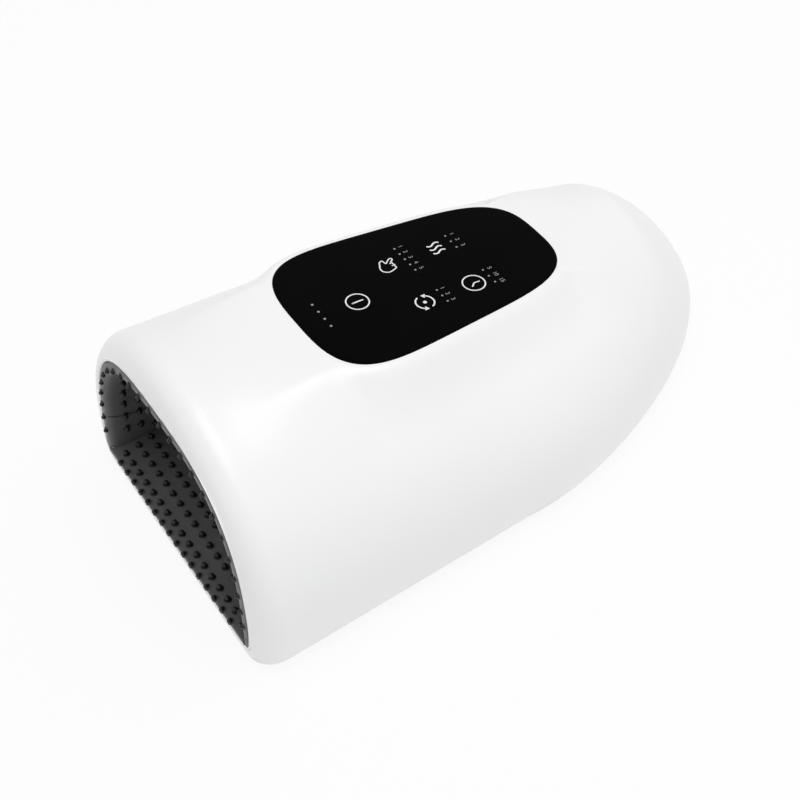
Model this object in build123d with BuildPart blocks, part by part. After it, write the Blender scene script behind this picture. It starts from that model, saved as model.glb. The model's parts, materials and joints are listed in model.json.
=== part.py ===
from build123d import *
from math import cos, sin, pi, sqrt, floor, ceil
import os

# A cordless hand massager: a white arched shell whose mouth faces -Y, with a studded
# soft cavity for the hand. Width runs along X, the nose points to +Y, and the origin
# lies on the table under the middle of the part. All sizes are in millimetres, places
# along Y are counted from the mouth, and levels are counted from the shell's base.

# Driving sizes of the shell
body_width = 150.0
body_length = 250.6
waist_width = 147.9
waist_place = 135.7
roof_at_mouth = 95.0
roof_pull = 76.6
roof_at_nose = 69.6
nose_place = 209.3
foot_height = 2.0
skin = 2.5
rim_radius = 11.45
front_wall = 2.5
lip_radius = 3.6
edge_radius = 5.5
tuck_height = 47.4
nose_cut = 1.2
parting_height = 4.0

# Shares that give the shell its curves
tuck_share = 0.082
lean_share = 0.1015
plan_power_share = 1.48
plan_root_share = 1 / 1.76
roof_power_share = 1.49
roof_root_share = 1 / 1.56
side_power_share = 1.86
crown_power_share = 2.73
nose_station_shares = (0.14, 0.28, 0.41, 0.53, 0.64, 0.735, 0.82, 0.89, 0.945, 0.98)
middle_station_shares = (0.02, 0.05, 0.1, 0.2, 0.38, 0.56, 0.72, 0.86)
arch_steps = 8
corner_steps = 3
rim_steps = 5

# Fits and overruns
overrun = 1.0
seat_gap = 0.1
soft_gap = 0.3
screw_gap = 0.2
thread_gap = 0.05

# Hand cavity
mouth_half_width = 59.87
mouth_floor = 9.87
mouth_height = 68.71
mouth_set_back = 1.24
mouth_flare = 1.3
mouth_lip = 0.3
collar_wall = 2.0
collar_depth = 8.0
cavity_end = 190.0
cavity_ceiling = 52.13
ceiling_fall = 1.5
ramp_end = 45.0
mouth_side_share = 2.95
mouth_crown_share = 2.73
tunnel_power_share = 4.0
tunnel_end_power_share = 2.8
narrowing_start = 115.0
tunnel_station_shares = (
    0.09, 0.12, 0.158, 0.195, 0.237, 0.295, 0.395, 0.526, 0.658, 0.763, 0.842, 0.905, 0.958,
)
frame_wall = 1.8
frame_floor_wall = 1.7
frame_end_wall = 2.0
tunnel_corner = 0.9
liner_wall = 5.2
liner_lip = 0.8
liner_ramp = 8.0
liner_end_wall = 3.0
flare_shares = (0.0, 0.08, 0.25, 0.5, 1.0)

# Floor mat, heaters and studs
mat_thickness = 2.4
heater_thickness = 0.3
stud_pitch = 6.21
stud_radius = 1.35
stud_height = 2.0
stud_taper = 8
stud_first_row = 4.57
stud_first_column = -24.47
stud_edge_margin = 3.0
stud_row_shift_share = -0.16

# Pressure plate, pad and airbag
pad_half_width = 28.0
pad_front = 52.0
pad_back = 154.0
pad_corner = 9.0
pad_thickness = 3.2
plate_thickness = 1.8
airbag_thickness = 3.2
airbag_level = 59.3
window_gap = 1.5
bag_spout_radius = 1.6
bag_spout_end = 200.0
spout_gap = 0.4
bag_spout_place = 12.0
bag_spout_bore = 0.9

# Touch panel, its deck and its board
panel_half_width = 31.67
panel_half_length = 54.25
panel_place = 121.46
panel_height = 79.6
panel_slope_share = -0.136
panel_taper_share = -0.162
panel_side_share = 3.16
panel_end_share = 4.59
panel_points = 32
lens_thickness = 1.6
lens_stand = 0.3
lens_gap = 0.15
deck_border = 2.2
deck_skirt = 9.0
deck_depth = 10.0
deck_wall = 2.5
ledge_width = 4.2
ledge_wall = 2.0
board_thickness = 1.2
board_inset = 1.2
lamp_side = 1.0
lamp_height = 0.8
key_offset = 12.8
lamp_step = 3.1
strength_place = 114.16
heat_place = 136.53
charge_place = 78.07
lamp_ahead = 8.6
board_screw_head = 1.3
board_screw_head_height = 0.9
board_screw_bite = 1.6
board_screw_places = ((-31.0, 98.0), (31.0, 98.0), (-26.5, 146.0), (26.5, 146.0))

# Screws, bosses and feet
boss_radius = 2.6
boss_height = 8.0
pilot_radius = 0.8
screw_radius = 1.0
screw_head_radius = 1.9
screw_head_height = 1.1
screw_length = 9.5
side_boss_x = 36.5
side_boss_y = 211.0
side_boss_link = 6.5
nose_boss_x = 13.0
nose_boss_y = 238.0
nose_boss_link = 7.0
frame_post_radius = 3.0
frame_post_front = (40.0, 25.0)
frame_post_back = (36.0, 165.0)
frame_screw_length = 4.2
pin_radius = 1.5
pin_height = 1.3
pin_place = (30.0, 100.0)
bracket_post = (20.0, 215.5)
rest_x = 30.0
rest_width = 12.0
rest_wall = 2.0
foot_radius = 6.0
foot_seat = 1.0
front_foot_place = (54.0, 17.0)
rear_foot_place = (42.0, 176.0)

# Battery and main board on the frame's end wall
battery_width = 48.0
battery_height = 34.0
battery_depth = 10.0
battery_level = 14.0
battery_place = 193.8
battery_corner = 2.0
shelf_wall = 1.5
main_board_width = 64.0
main_board_height = 39.0
main_board_level = 12.5
main_board_place = 207.0
main_board_wall = 1.4
standoff_radius = 2.6
standoff_inset = 3.2

# Parts on the main board's nose side: x, level, width, height, depth of each
board_part_sizes = (
    (-19.0, 24.0, 9.0, 9.0, 1.5),
    (20.0, 22.0, 6.0, 5.0, 1.4),
    (23.0, 36.0, 7.0, 7.0, 2.6),
    (-24.0, 40.0, 5.0, 6.0, 2.2),
    (2.0, 24.0, 8.0, 5.0, 1.2),
    (12.0, 33.0, 4.0, 3.0, 1.8),
)
flex_socket_width = 12.0
flex_socket_height = 4.0
flex_socket_depth = 2.4
flex_width = 10.0
flex_wall = 0.3
flex_rise = 14.0

# Pump, on an axis along X
motor_place = 223.5
motor_level = 18.5
motor_left = -22.0
motor_length = 26.0
motor_radius = 10.2
motor_wall = 0.8
motor_end_wall = 1.2
magnet_wall = 2.2
magnet_angle = 120.0
magnet_gap = 0.1
armature_radius = 6.6
armature_length = 14.0
shaft_radius = 1.0
shaft_gap = 0.05
bush_radius = 3.0
bush_depth = 2.4
head_radius = 10.6
head_length = 8.6
head_wall = 1.6
chamber_radius = 8.0
cam_radius = 4.6
cam_throw = 1.0
cam_width = 3.0
cam_gap = 1.0
diaphragm_wall = 1.4
cap_length = 5.0
cup_radius = 2.4
cup_depth = 1.6
cup_circle = 5.6
nozzle_radius = 1.6
nozzle_length = 7.0
nozzle_bore = 0.8
bracket_half_width = 24.0
bracket_front = 212.0
bracket_back = 232.0
saddle_wall = 2.4
saddle_reach = 6.0
saddle_places = (-17.0, -1.0)

# Air release valve, upright on the main board
valve_x = -8.0
valve_side = 11.0
valve_level = 32.0
valve_height = 20.0
valve_wall = 1.2
coil_radius = 4.3
coil_length = 9.0
plunger_radius = 1.8
plunger_gap = 0.06
plunger_length = 9.0
plunger_head_radius = 3.0
plunger_head_wall = 1.5
spring_radius = 2.8
spring_wall = 0.5
spring_length = 2.8
valve_seat_radius = 2.0
valve_seat_bore = 0.8

# Charging socket on the far side
socket_place = 160.0
socket_level = 14.0
socket_width = 8.94
socket_height = 4.4
socket_depth = 4.6
socket_wall = 0.4
socket_recess = 1.2
tab_width = 6.6
tab_height = 0.7
tab_set_back = 1.0
socket_board_width = 10.0
socket_board_height = 10.0
socket_board_wall = 1.0

# Air hose from the pump to the bag: its route, chosen by hand
hose_radius = 2.6
hose_grip = 4.0
tube_gap = 0.1
bend_share = 0.45
hose_run_up = 12.0
hose_run_in = 10.0
hose_turn = (15.0, 216.5, 55.0)


def body_half_width(y, inset):
    """Half the shell's width at distance y from the mouth, with all walls taken in by inset."""
    end = body_length - inset
    share = max(0.0, (y - waist_place) / (end - waist_place))
    straight = body_width / 2 + (waist_width - body_width) / 2 * y / waist_place - inset
    return straight * max(0.0, 1 - share**plan_power_share) ** plan_root_share


def body_roof(y, inset):
    """Height of the roof's ridge over the shell's base at distance y from the mouth."""
    t = y / nose_place
    ridge = (1 - t) ** 2 * roof_at_mouth + 2 * t * (1 - t) * roof_pull + t**2 * roof_at_nose
    share = max(0.0, (y - nose_place) / (body_length - inset - nose_place))
    return (ridge - inset) * max(0.0, 1 - share**roof_power_share) ** roof_root_share


front_place = -(lean_share * lip_radius + body_length - nose_cut) / 2


def leaning_plane(y):
    """Upright section plane at y, which leans back like the mouth and less so near the nose."""
    lean = lean_share * (1 - y / body_length)
    return Plane(origin=(0, front_place + y, foot_height), x_dir=(1, 0, 0), z_dir=(0, -1, lean))


def level(z):
    """Horizontal plane at height z over the shell's base, with its origin at the mouth."""
    return Plane(origin=(0, front_place, foot_height + z))


def arch_half(z, half, base, top, side_share, crown_share, tuck):
    """Half width at height z of an arch that springs from base and closes at top."""
    rise = min(1.0, max(0.0, (z - base) / (top - base)))
    lean_in = 1 - tuck * max(0.0, 1 - z / tuck_height) ** 2
    return half * (1 - rise**crown_share) ** (1 / side_share) * lean_in


def arch_points(y, low, corner, arch):
    """Points of a closed arch's line, from its right foot over the crown to its left foot."""
    half, base, top, side_share, crown_share, tuck = arch
    stretch = sqrt(1 + (lean_share * (1 - y / body_length)) ** 2)
    right = []
    for k in range(corner_steps):
        angle = pi / 2 * k / corner_steps
        z = low + corner * (1 - cos(angle))
        right.append((arch_half(z, *arch) - corner * (1 - sin(angle)), z * stretch))
    start = max(0.0, (low + corner - base) / (top - base)) ** (crown_share / 2)
    for k in range(arch_steps):
        share = start + (1 - start) * sin(pi / 2 * k / arch_steps) ** 1.2
        z = base + (top - base) * share ** (2 / crown_share)
        if low + corner < base and k == 0:
            z = low + corner
        right.append((arch_half(z, *arch), z * stretch))
    left = [(-x, z) for x, z in reversed(right)]
    return right + [(0, top * stretch)] + left


def spacing_shares(points):
    """Share of a line's length at each of its points, so that all sections are spaced alike."""
    lengths = [0.0]
    for start, end in zip(points, points[1:]):
        lengths.append(lengths[-1] + sqrt((end[0] - start[0]) ** 2 + (end[1] - start[1]) ** 2))
    return [length / lengths[-1] for length in lengths]


def lofted(sections, ruled=False):
    """Closed solid through arch sections, each given as its plane and its points."""
    spacing = spacing_shares(sections[len(sections) // 2][1])
    with BuildPart() as form:
        for plane, points in sections:
            with BuildSketch(plane):
                with BuildLine():
                    arch = Edge.make_spline([Vector(x, z) for x, z in points], parameters=spacing)
                    add(arch)
                    Line(arch @ 1, arch @ 0)
                make_face()
        loft(ruled=ruled)
    return form.part


def body_form(inset, low, front, rim, lip, corner):
    """The shell's outer form, taken in by inset and starting at front with a rolled rim."""
    end = body_length - inset - nose_cut
    stations = [front + rim * (1 - cos(pi / 2 * k / rim_steps)) for k in range(rim_steps + 1)]
    first = stations[-1]
    stations += [first + (waist_place - first) * share for share in middle_station_shares]
    stations += [waist_place]
    stations += [waist_place + (end - waist_place) * share for share in nose_station_shares]
    stations += [end]
    sections = []
    for y in stations:
        depth = max(0.0, 1 - (y - front) / rim)
        roll = rim * (1 - sqrt(max(0.0, 1 - depth**2)))
        lip_depth = max(0.0, 1 - (y - front) / lip)
        raised = lip * (1 - sqrt(max(0.0, 1 - lip_depth**2)))
        half = body_half_width(y, inset) - roll
        roof = body_roof(y, inset) - roll
        foot_corner = min(corner, (roof - low) / 3, half / 3)
        arch = (half, 0, roof, side_power_share, crown_power_share, tuck_share)
        sections.append((leaning_plane(y), arch_points(y, low + raised, foot_corner, arch)))
    return lofted(sections)


def cavity_arch(y, grow):
    """The hand cavity's arch at distance y, with its wall moved out by grow."""
    ramp = min(1.0, max(0.0, (y - collar_depth) / (ramp_end - collar_depth)))
    ease = ramp * ramp * (3 - 2 * ramp)
    fall = ceiling_fall * max(0.0, (y - ramp_end) / (cavity_end - ramp_end))
    height = mouth_height + (cavity_ceiling - mouth_height) * ease - fall
    half = mouth_half_width * body_half_width(y, 0) / (body_width / 2)
    late = min(1.0, max(0.0, (y - narrowing_start) / (cavity_end - narrowing_start)))
    power = tunnel_power_share + (tunnel_end_power_share - tunnel_power_share) * late * late * (3 - 2 * late)
    side = mouth_side_share + (power - mouth_side_share) * ease
    crown = mouth_crown_share + (power - mouth_crown_share) * ease
    return (half + grow, mouth_floor, mouth_floor + height + grow, side, crown, 0.0)


def cavity_section(y, grow, low, corner):
    """Plane and points of the cavity's section at y."""
    return leaning_plane(y), arch_points(y, low, corner, cavity_arch(y, grow))


def tunnel_stations(start, end):
    """Places of the cavity's sections between two ends, the same for each of its walls."""
    between = [cavity_end * share for share in tunnel_station_shares]
    return [start] + [y for y in between if start + skin < y < end - skin] + [end]


def tunnel_form(start, end, grow, low):
    """A length of the cavity's form between two places."""
    stations = tunnel_stations(start, end)
    return lofted([cavity_section(y, grow, low, tunnel_corner) for y in stations])


def panel_plane(drop):
    """The deck's sloping plane, moved down by drop, with its origin at the panel's middle."""
    middle = (0, front_place + panel_place, foot_height + panel_height)
    plane = Plane(origin=middle, x_dir=(1, 0, 0), z_dir=(0, -panel_slope_share, 1))
    return plane.offset(-drop)


def panel_outline(grow):
    """Points of the panel's rounded outline on its plane, wider at the mouth end."""
    points = []
    for k in range(panel_points):
        angle = 2 * pi * (k + 0.5) / panel_points
        along = abs(sin(angle)) ** (2 / panel_end_share) * (1 if sin(angle) > 0 else -1)
        across = abs(cos(angle)) ** (2 / panel_side_share) * (1 if cos(angle) > 0 else -1)
        taper = 1 + panel_taper_share * along
        x = (panel_half_width * taper + grow) * across
        points.append((x, (panel_half_length + grow) * along))
    return points


def panel_form(top_drop, top_grow, bottom_drop, bottom_grow):
    """A block between two panel outlines at two depths under the deck's plane."""
    with BuildPart() as form:
        for drop, grow in ((bottom_drop, bottom_grow), (top_drop, top_grow)):
            with BuildSketch(panel_plane(drop)):
                with BuildLine():
                    outline = panel_outline(grow)
                    spacing = spacing_shares(outline + outline[:1])
                    rim = [Vector(x, y) for x, y in outline]
                    add(Edge.make_spline(rim, periodic=True, parameters=spacing))
                make_face()
        loft(ruled=True)
    return form.part


def panel_point(x, y):
    """Place on the panel's plane over the point x, y of the shell."""
    along = (y - panel_place) * sqrt(1 + panel_slope_share**2)
    return (x, along)


def stud_places(front, back, half_at, margin):
    """Centres of the studs between two places, row by row from the mouth."""
    places = []
    row = 0
    y = stud_first_row
    while y < back - margin:
        shift = stud_first_column + stud_row_shift_share * stud_pitch * row
        room = half_at(y) - margin
        first = ceil((-room - shift) / stud_pitch)
        last = floor((room - shift) / stud_pitch)
        if y > front + margin:
            places += [(shift + stud_pitch * k, y) for k in range(first, last + 1)]
        row += 1
        y = stud_first_row + stud_pitch * row
    return places


def mirrored(place):
    """A place and its mirror image across the middle of the part."""
    x, y = place
    return [(-x, y), (x, y)]


side_bosses = mirrored((side_boss_x, side_boss_y))
nose_bosses = mirrored((nose_boss_x, nose_boss_y))
frame_posts = mirrored(frame_post_front) + mirrored(frame_post_back)
foot_places = mirrored(front_foot_place) + mirrored(rear_foot_place)

# Levels over the shell's base, from the floor up
mat_level = mouth_floor - mat_thickness
frame_floor = mat_level - heater_thickness
frame_underside = frame_floor - frame_floor_wall
ledge_level = lens_thickness - lens_stand + lens_gap
ledge_underside = ledge_level + ledge_wall

# Whole forms that the casing is cut from
outer_form = body_form(0, 0, 0, rim_radius, lip_radius, edge_radius)
hollow_form = body_form(skin, skin, front_wall, rim_radius - skin, lip_radius - skin / 2, edge_radius - skin)

# The flat deck that stands on the roof round the panel
deck_form = panel_form(0, deck_border, deck_depth, deck_skirt)
deck_hollow = panel_form(ledge_underside, deck_border - deck_wall, deck_depth + skin, deck_skirt - deck_wall)
deck_keep = panel_form(-deck_depth, deck_skirt, ledge_underside, deck_border)

# Mouth opening with its flare, the seat of the lining behind it, and the collar round it
mouth_stations = [(-overrun, mouth_flare), (0, mouth_flare), (mouth_flare / 4, mouth_flare / 3)]
mouth_stations += [(mouth_set_back, -mouth_lip), (collar_depth, -collar_wall)]
mouth_form = lofted(
    [cavity_section(y, grow, mouth_floor - grow, tunnel_corner) for y, grow in mouth_stations], ruled=True
)
seat_stations = (mouth_set_back, collar_depth + overrun)
seat_form = lofted([cavity_section(y, 0, frame_floor, tunnel_corner) for y in seat_stations], ruled=True)
collar_form = lofted(
    [cavity_section(y, collar_wall, skin, tunnel_corner) for y in (front_wall, collar_depth)], ruled=True
)


os.makedirs("parts", exist_ok=True)


def write_piece(piece, name):
    """Label a finished piece and write it under its node's name."""
    piece.part.label = name
    export_step(piece.part, f"parts/{name}.step")


def block(center, size, low, high):
    """Plain block between two levels, for seats and cuts."""
    with BuildPart() as form:
        with BuildSketch(level(low)):
            with Locations(center):
                Rectangle(*size)
        extrude(amount=high - low)
    return form.part


def across(x):
    """Upright plane at x on the pump's axis, facing +X, with its own x along the part's Y."""
    middle = (x, front_place + motor_place, foot_height + motor_level)
    return Plane(origin=middle, x_dir=(0, 1, 0), z_dir=(1, 0, 0))


def back_plane(y):
    """Upright plane at y facing the nose, with its own y upwards from the shell's base."""
    return Plane(origin=(0, front_place + y, foot_height), x_dir=(-1, 0, 0), z_dir=(0, 1, 0))


def side_plane(x):
    """Upright plane at x beside the charging socket, facing +X, with its x along the part's Y."""
    middle = (x, front_place + socket_place, foot_height + socket_level)
    return Plane(origin=middle, x_dir=(0, 1, 0), z_dir=(1, 0, 0))


# Upper housing: the shell from the parting line up, with rim, deck and screw bosses
shell_base = block((0, body_length / 2), (2 * body_width, 2 * body_length), -lip_radius, parting_height)
boss_level = frame_floor + seat_gap
middle_rim = rim_radius - skin / 2
middle_lip = lip_radius - skin / 2
middle_edge = edge_radius - skin / 2
middle_form = body_form(skin / 2, skin / 2, front_wall / 2, middle_rim, middle_lip, middle_edge)
side_link = (side_boss_x + side_boss_link / 2, side_boss_y)
nose_link = (nose_boss_x, nose_boss_y + nose_boss_link / 2)
with BuildPart() as room:
    add(hollow_form)
    add([collar_form, deck_keep], mode=Mode.SUBTRACT, clean=False)
    add(deck_hollow, clean=False)
with BuildPart() as bosses:
    with BuildSketch(level(boss_level)):
        with Locations(side_bosses + nose_bosses):
            Circle(boss_radius)
        with Locations(mirrored(side_link)):
            Rectangle(side_boss_link, boss_radius)
        with Locations(mirrored(nose_link)):
            Rectangle(boss_radius, nose_boss_link)
    extrude(amount=boss_height)
    add(middle_form, mode=Mode.INTERSECT)
    with BuildSketch(level(boss_level)):
        with Locations(side_bosses + nose_bosses):
            Circle(pilot_radius)
    extrude(amount=boss_height - overrun, mode=Mode.SUBTRACT)
with BuildPart() as pilots:
    with BuildSketch(panel_plane(ledge_underside + overrun)):
        with Locations([panel_point(x, y) for x, y in board_screw_places]):
            Circle(pilot_radius)
    extrude(amount=board_screw_bite + overrun)
socket_half = body_half_width(socket_place, 0)
side_arch = (socket_half, 0, body_roof(socket_place, 0), side_power_share, crown_power_share)
socket_face = socket_recess - arch_half(socket_level, *side_arch, tuck_share)
with BuildPart() as port:
    with BuildSketch(side_plane(socket_face - 3 * overrun)):
        SlotOverall(socket_width + 2 * seat_gap, socket_height + 2 * seat_gap)
    extrude(amount=socket_depth + overrun)
lens_pocket = panel_form(-lens_stand - overrun, lens_gap, ledge_level, lens_gap)
lamp_window = panel_form(lens_stand, -ledge_width, ledge_underside + overrun, -ledge_width)
cuts = (shell_base, room.part, seat_form, mouth_form, lens_pocket, lamp_window, pilots.part, port.part)
with BuildPart() as upper_housing:
    add(outer_form)
    add(deck_form, clean=False)
    for cut in cuts:
        add(cut, mode=Mode.SUBTRACT, clean=False)
    add(bosses.part, clean=False)
write_piece(upper_housing, "upper_housing")

# Bottom cover: the tray under the parting line, with posts, pins, front rests and foot seats
head_recess = screw_head_height + screw_gap
post_top = frame_underside - seat_gap
screw_hole = screw_radius + screw_gap
tray_rim = rim_radius - skin
tray_places = [front_wall + tray_rim * (1 - cos(pi / 2 * k / rim_steps)) for k in range(1, rim_steps)]
tray_places += [waist_place * share for share in middle_station_shares[2:]]
tray_places += [waist_place + (body_length - skin - waist_place) * share for share in nose_station_shares]
tray_edge = []
for y in tray_places:
    depth = max(0.0, 1 - (y - front_wall) / tray_rim)
    half = body_half_width(y, skin) - tray_rim * (1 - sqrt(1 - depth**2))
    arch = (half, 0, body_roof(y, skin), side_power_share, crown_power_share, tuck_share)
    tray_edge.append((arch_half(parting_height, *arch) - (edge_radius - skin) / 2, y))
with BuildPart() as bottom_cover:
    add(outer_form)
    add(shell_base, mode=Mode.INTERSECT)
    with BuildSketch(level(skin)):
        with BuildLine():
            right = Polyline(tray_edge)
            left = Polyline([(-x, y) for x, y in tray_edge])
            Line(left @ 0, right @ 0)
            Line(left @ 1, right @ 1)
        make_face()
    extrude(amount=parting_height, mode=Mode.SUBTRACT)
    with BuildSketch(level(skin / 2)):
        with Locations(frame_posts + mirrored(bracket_post)):
            Circle(frame_post_radius)
        with Locations(mirrored((rest_x, collar_depth + seat_gap + rest_wall))):
            Rectangle(rest_width, rest_wall)
    extrude(amount=post_top - skin / 2)
    with BuildSketch(level(skin / 2)):
        with Locations(side_bosses + nose_bosses):
            Circle(boss_radius)
    extrude(amount=frame_floor - skin / 2)
    with BuildSketch(level(skin / 2)):
        with Locations(mirrored(pin_place)):
            Circle(pin_radius)
    extrude(amount=frame_underside + pin_height - skin / 2)
    with BuildSketch(level(-overrun)):
        with Locations(side_bosses + nose_bosses):
            Circle(screw_hole)
    extrude(amount=frame_floor + 2 * overrun, mode=Mode.SUBTRACT)
    with BuildSketch(level(-overrun)):
        with Locations(side_bosses + nose_bosses):
            Circle(screw_head_radius + screw_gap)
    extrude(amount=head_recess + overrun, mode=Mode.SUBTRACT)
    with BuildSketch(level(post_top)):
        with Locations(frame_posts + mirrored(bracket_post)):
            Circle(pilot_radius)
    extrude(amount=-(post_top - overrun), mode=Mode.SUBTRACT)
    with BuildSketch(level(-overrun)):
        with Locations(foot_places):
            Circle(foot_radius + seat_gap)
    extrude(amount=foot_seat + overrun, mode=Mode.SUBTRACT)
write_piece(bottom_cover, "bottom_cover")

# Four rubber feet in the base's seats
with BuildPart() as rubber_feet:
    with BuildSketch(level(-foot_height)):
        with Locations(foot_places):
            Circle(foot_radius)
    extrude(amount=foot_height + foot_seat)
    chamfer(rubber_feet.edges().group_by(Axis.Z)[0], length=foot_height / 3)
write_piece(rubber_feet, "rubber_feet")

# Screws that hold the base to the shell, from below
with BuildPart() as housing_screws:
    with BuildSketch(level(screw_gap)):
        with Locations(side_bosses + nose_bosses):
            Circle(screw_head_radius)
    extrude(amount=screw_head_height)
    with BuildSketch(level(screw_gap + screw_head_height)):
        with Locations(side_bosses + nose_bosses):
            Circle(pilot_radius - thread_gap)
    extrude(amount=screw_length)
    with BuildSketch(level(screw_gap)):
        with Locations(side_bosses + nose_bosses):
            Rectangle(2 * screw_radius, pilot_radius / 2)
            Rectangle(pilot_radius / 2, 2 * screw_radius)
    extrude(amount=screw_head_height / 2, mode=Mode.SUBTRACT)
write_piece(housing_screws, "housing_screws")

# Inner frame: the rigid tunnel round the hand cavity, closed at the nose end
frame_front = collar_depth + seat_gap
seat_middle = (pad_front + pad_back) / 2
seat_length = pad_back - pad_front + 2 * window_gap
shelf_back = battery_place + battery_depth
standoff_x = main_board_width / 2 - standoff_inset
standoff_low = main_board_level + standoff_inset
standoff_high = main_board_level + main_board_height - standoff_inset
standoffs = [(x, z) for x in (-standoff_x, standoff_x) for z in (standoff_low, standoff_high)]
frame_outside = tunnel_form(frame_front, cavity_end + frame_end_wall, frame_wall, frame_underside)
frame_inside = tunnel_form(frame_front - overrun, cavity_end, 0, frame_floor)
pad_window = (2 * pad_half_width + 2 * window_gap, seat_length)
bag_ceiling = block((0, seat_middle), pad_window, airbag_level, body_width)
with BuildPart() as bag_seat:
    add(frame_outside)
    add(bag_ceiling, mode=Mode.INTERSECT)
with BuildPart() as inner_frame:
    add(frame_outside)
    add(frame_inside, mode=Mode.SUBTRACT)
    add(bag_seat.part)
    with BuildSketch(back_plane(cavity_end + frame_end_wall)):
        with Locations(standoffs):
            Circle(standoff_radius)
    extrude(amount=main_board_place - cavity_end - frame_end_wall)
    with BuildSketch(level(battery_level - shelf_wall)):
        with Locations((0, (cavity_end + frame_end_wall + shelf_back) / 2)):
            Rectangle(battery_width, shelf_back - cavity_end - frame_end_wall)
    extrude(amount=shelf_wall)
    with BuildSketch(back_plane(main_board_place + overrun)):
        with Locations(standoffs):
            Circle(pilot_radius)
    extrude(amount=-(board_screw_bite + 2 * overrun), mode=Mode.SUBTRACT)
    with BuildSketch(back_plane(cavity_end - liner_end_wall)):
        with Locations((-bag_spout_place, airbag_level - airbag_thickness / 2)):
            Circle(bag_spout_radius + spout_gap)
    extrude(amount=liner_end_wall + 3 * frame_end_wall, mode=Mode.SUBTRACT)
    with BuildSketch(level(frame_underside - overrun)):
        with Locations(frame_posts):
            Circle(screw_hole)
        with Locations(mirrored(pin_place)):
            Circle(pin_radius + seat_gap)
    extrude(amount=frame_floor_wall + 2 * overrun, mode=Mode.SUBTRACT)
    with BuildSketch(level(frame_floor - screw_head_height)):
        with Locations(frame_posts):
            Circle(screw_head_radius + seat_gap)
    extrude(amount=screw_head_height + overrun, mode=Mode.SUBTRACT)
write_piece(inner_frame, "inner_frame")

# Flush screws that hold the frame and the pump's bracket to the base's posts
with BuildPart() as frame_screws:
    with BuildSketch(level(frame_floor - screw_head_height)):
        with Locations(frame_posts + mirrored(bracket_post)):
            Circle(screw_head_radius)
    extrude(amount=screw_head_height - seat_gap)
    with BuildSketch(level(frame_floor - screw_head_height)):
        with Locations(frame_posts + mirrored(bracket_post)):
            Circle(pilot_radius - thread_gap)
    extrude(amount=-frame_screw_length)
write_piece(frame_screws, "frame_screws")

# Upper lining: soft arch inside the frame, flared at its front lip, open to the pad
liner_front = mouth_set_back + seat_gap
liner_back = cavity_end - seat_gap
liner_outside = tunnel_form(liner_front, liner_back, -soft_gap, frame_floor + seat_gap)
inner_end = liner_back - liner_end_wall


def liner_depth(y):
    """The lining's thickness at y, which grows from its front lip over the flare."""
    share = min(1.0, max(0.0, (y - liner_front) / liner_ramp))
    return liner_lip + (liner_wall - liner_lip) * sqrt(1 - (1 - share) ** 2)


def liner_section(y):
    """Plane and points of the lining's inner section at y."""
    return cavity_section(y, -liner_depth(y), frame_floor - overrun, tunnel_corner)


inner_stations = [liner_front - overrun] + [liner_front + liner_ramp * share for share in flare_shares]
inner_start = liner_front + liner_ramp
inner_stations += tunnel_stations(inner_start, inner_end)[1:]
inner_form = lofted([liner_section(y) for y in inner_stations], ruled=True)
window_level = airbag_level - airbag_thickness - plate_thickness - pad_thickness - stud_height
spout_slot = (2 * bag_spout_radius + 2 * spout_gap, bag_spout_end - pad_back)
spout_middle = (bag_spout_place, (pad_back + bag_spout_end) / 2)
with BuildPart() as upper_liner:
    add(liner_outside)
    add(inner_form, mode=Mode.SUBTRACT)
    add(block((0, seat_middle), pad_window, window_level, body_width), mode=Mode.SUBTRACT)
    add(
        block(spout_middle, spout_slot, airbag_level - airbag_thickness - spout_gap, body_width),
        mode=Mode.SUBTRACT,
    )
write_piece(upper_liner, "upper_liner")


def mat_half(y):
    """Half width of the floor mat beside the section that stands at y."""
    return cavity_arch(y, -liner_wall)[0] - soft_gap


# Floor mat with its studs, and the heating film under it
mat_front = liner_front + lean_share * mouth_floor
mat_back = inner_end - soft_gap
mat_edge = [(mat_half(mat_front), mat_front)]
for y in tunnel_stations(inner_start, mat_back)[1:-1]:
    mat_edge.append((mat_half(y), y + lean_share * (1 - y / body_length) * mat_level))
mat_edge.append((mat_half(mat_back), mat_back))


def mat_sketch(low):
    """Outline of the floor mat at a level."""
    with BuildSketch(level(low)) as outline:
        with BuildLine():
            right = Polyline(mat_edge)
            left = Polyline([(-x, y) for x, y in mat_edge])
            Line(left @ 0, right @ 0)
            Line(left @ 1, right @ 1)
        make_face()
    return outline.sketch


mat_studs = stud_places(mat_front, mat_back, mat_half, stud_edge_margin)
with BuildPart() as floor_mat:
    add(mat_sketch(mat_level + seat_gap))
    extrude(amount=mat_thickness - seat_gap)
    with BuildSketch(level(mouth_floor)):
        with Locations(mat_studs):
            Circle(stud_radius)
    extrude(amount=stud_height, taper=stud_taper)
write_piece(floor_mat, "floor_mat")

with BuildPart() as floor_heater:
    add(mat_sketch(frame_floor))
    extrude(amount=heater_thickness)
write_piece(floor_heater, "floor_heater")

# Airbag with its spout, and the plate, film and studded pad that it presses down
bag_bottom = airbag_level - seat_gap - airbag_thickness
plate_top = bag_bottom - soft_gap
plate_bottom = plate_top - plate_thickness
pad_top = plate_bottom - heater_thickness
pad_bottom = pad_top - pad_thickness
pad_size = (2 * pad_half_width, pad_back - pad_front)
spout_level = bag_bottom + airbag_thickness / 2


def pad_block(low, thickness, edge):
    """Rounded slab of the pad's outline, with its long edges eased by edge."""
    with BuildPart() as slab:
        with BuildSketch(level(low)):
            with Locations((0, seat_middle)):
                RectangleRounded(*pad_size, radius=pad_corner)
        extrude(amount=thickness)
        if edge:
            fillet(slab.faces().filter_by(Axis.Z).edges(), radius=edge)
    return slab.part


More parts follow.
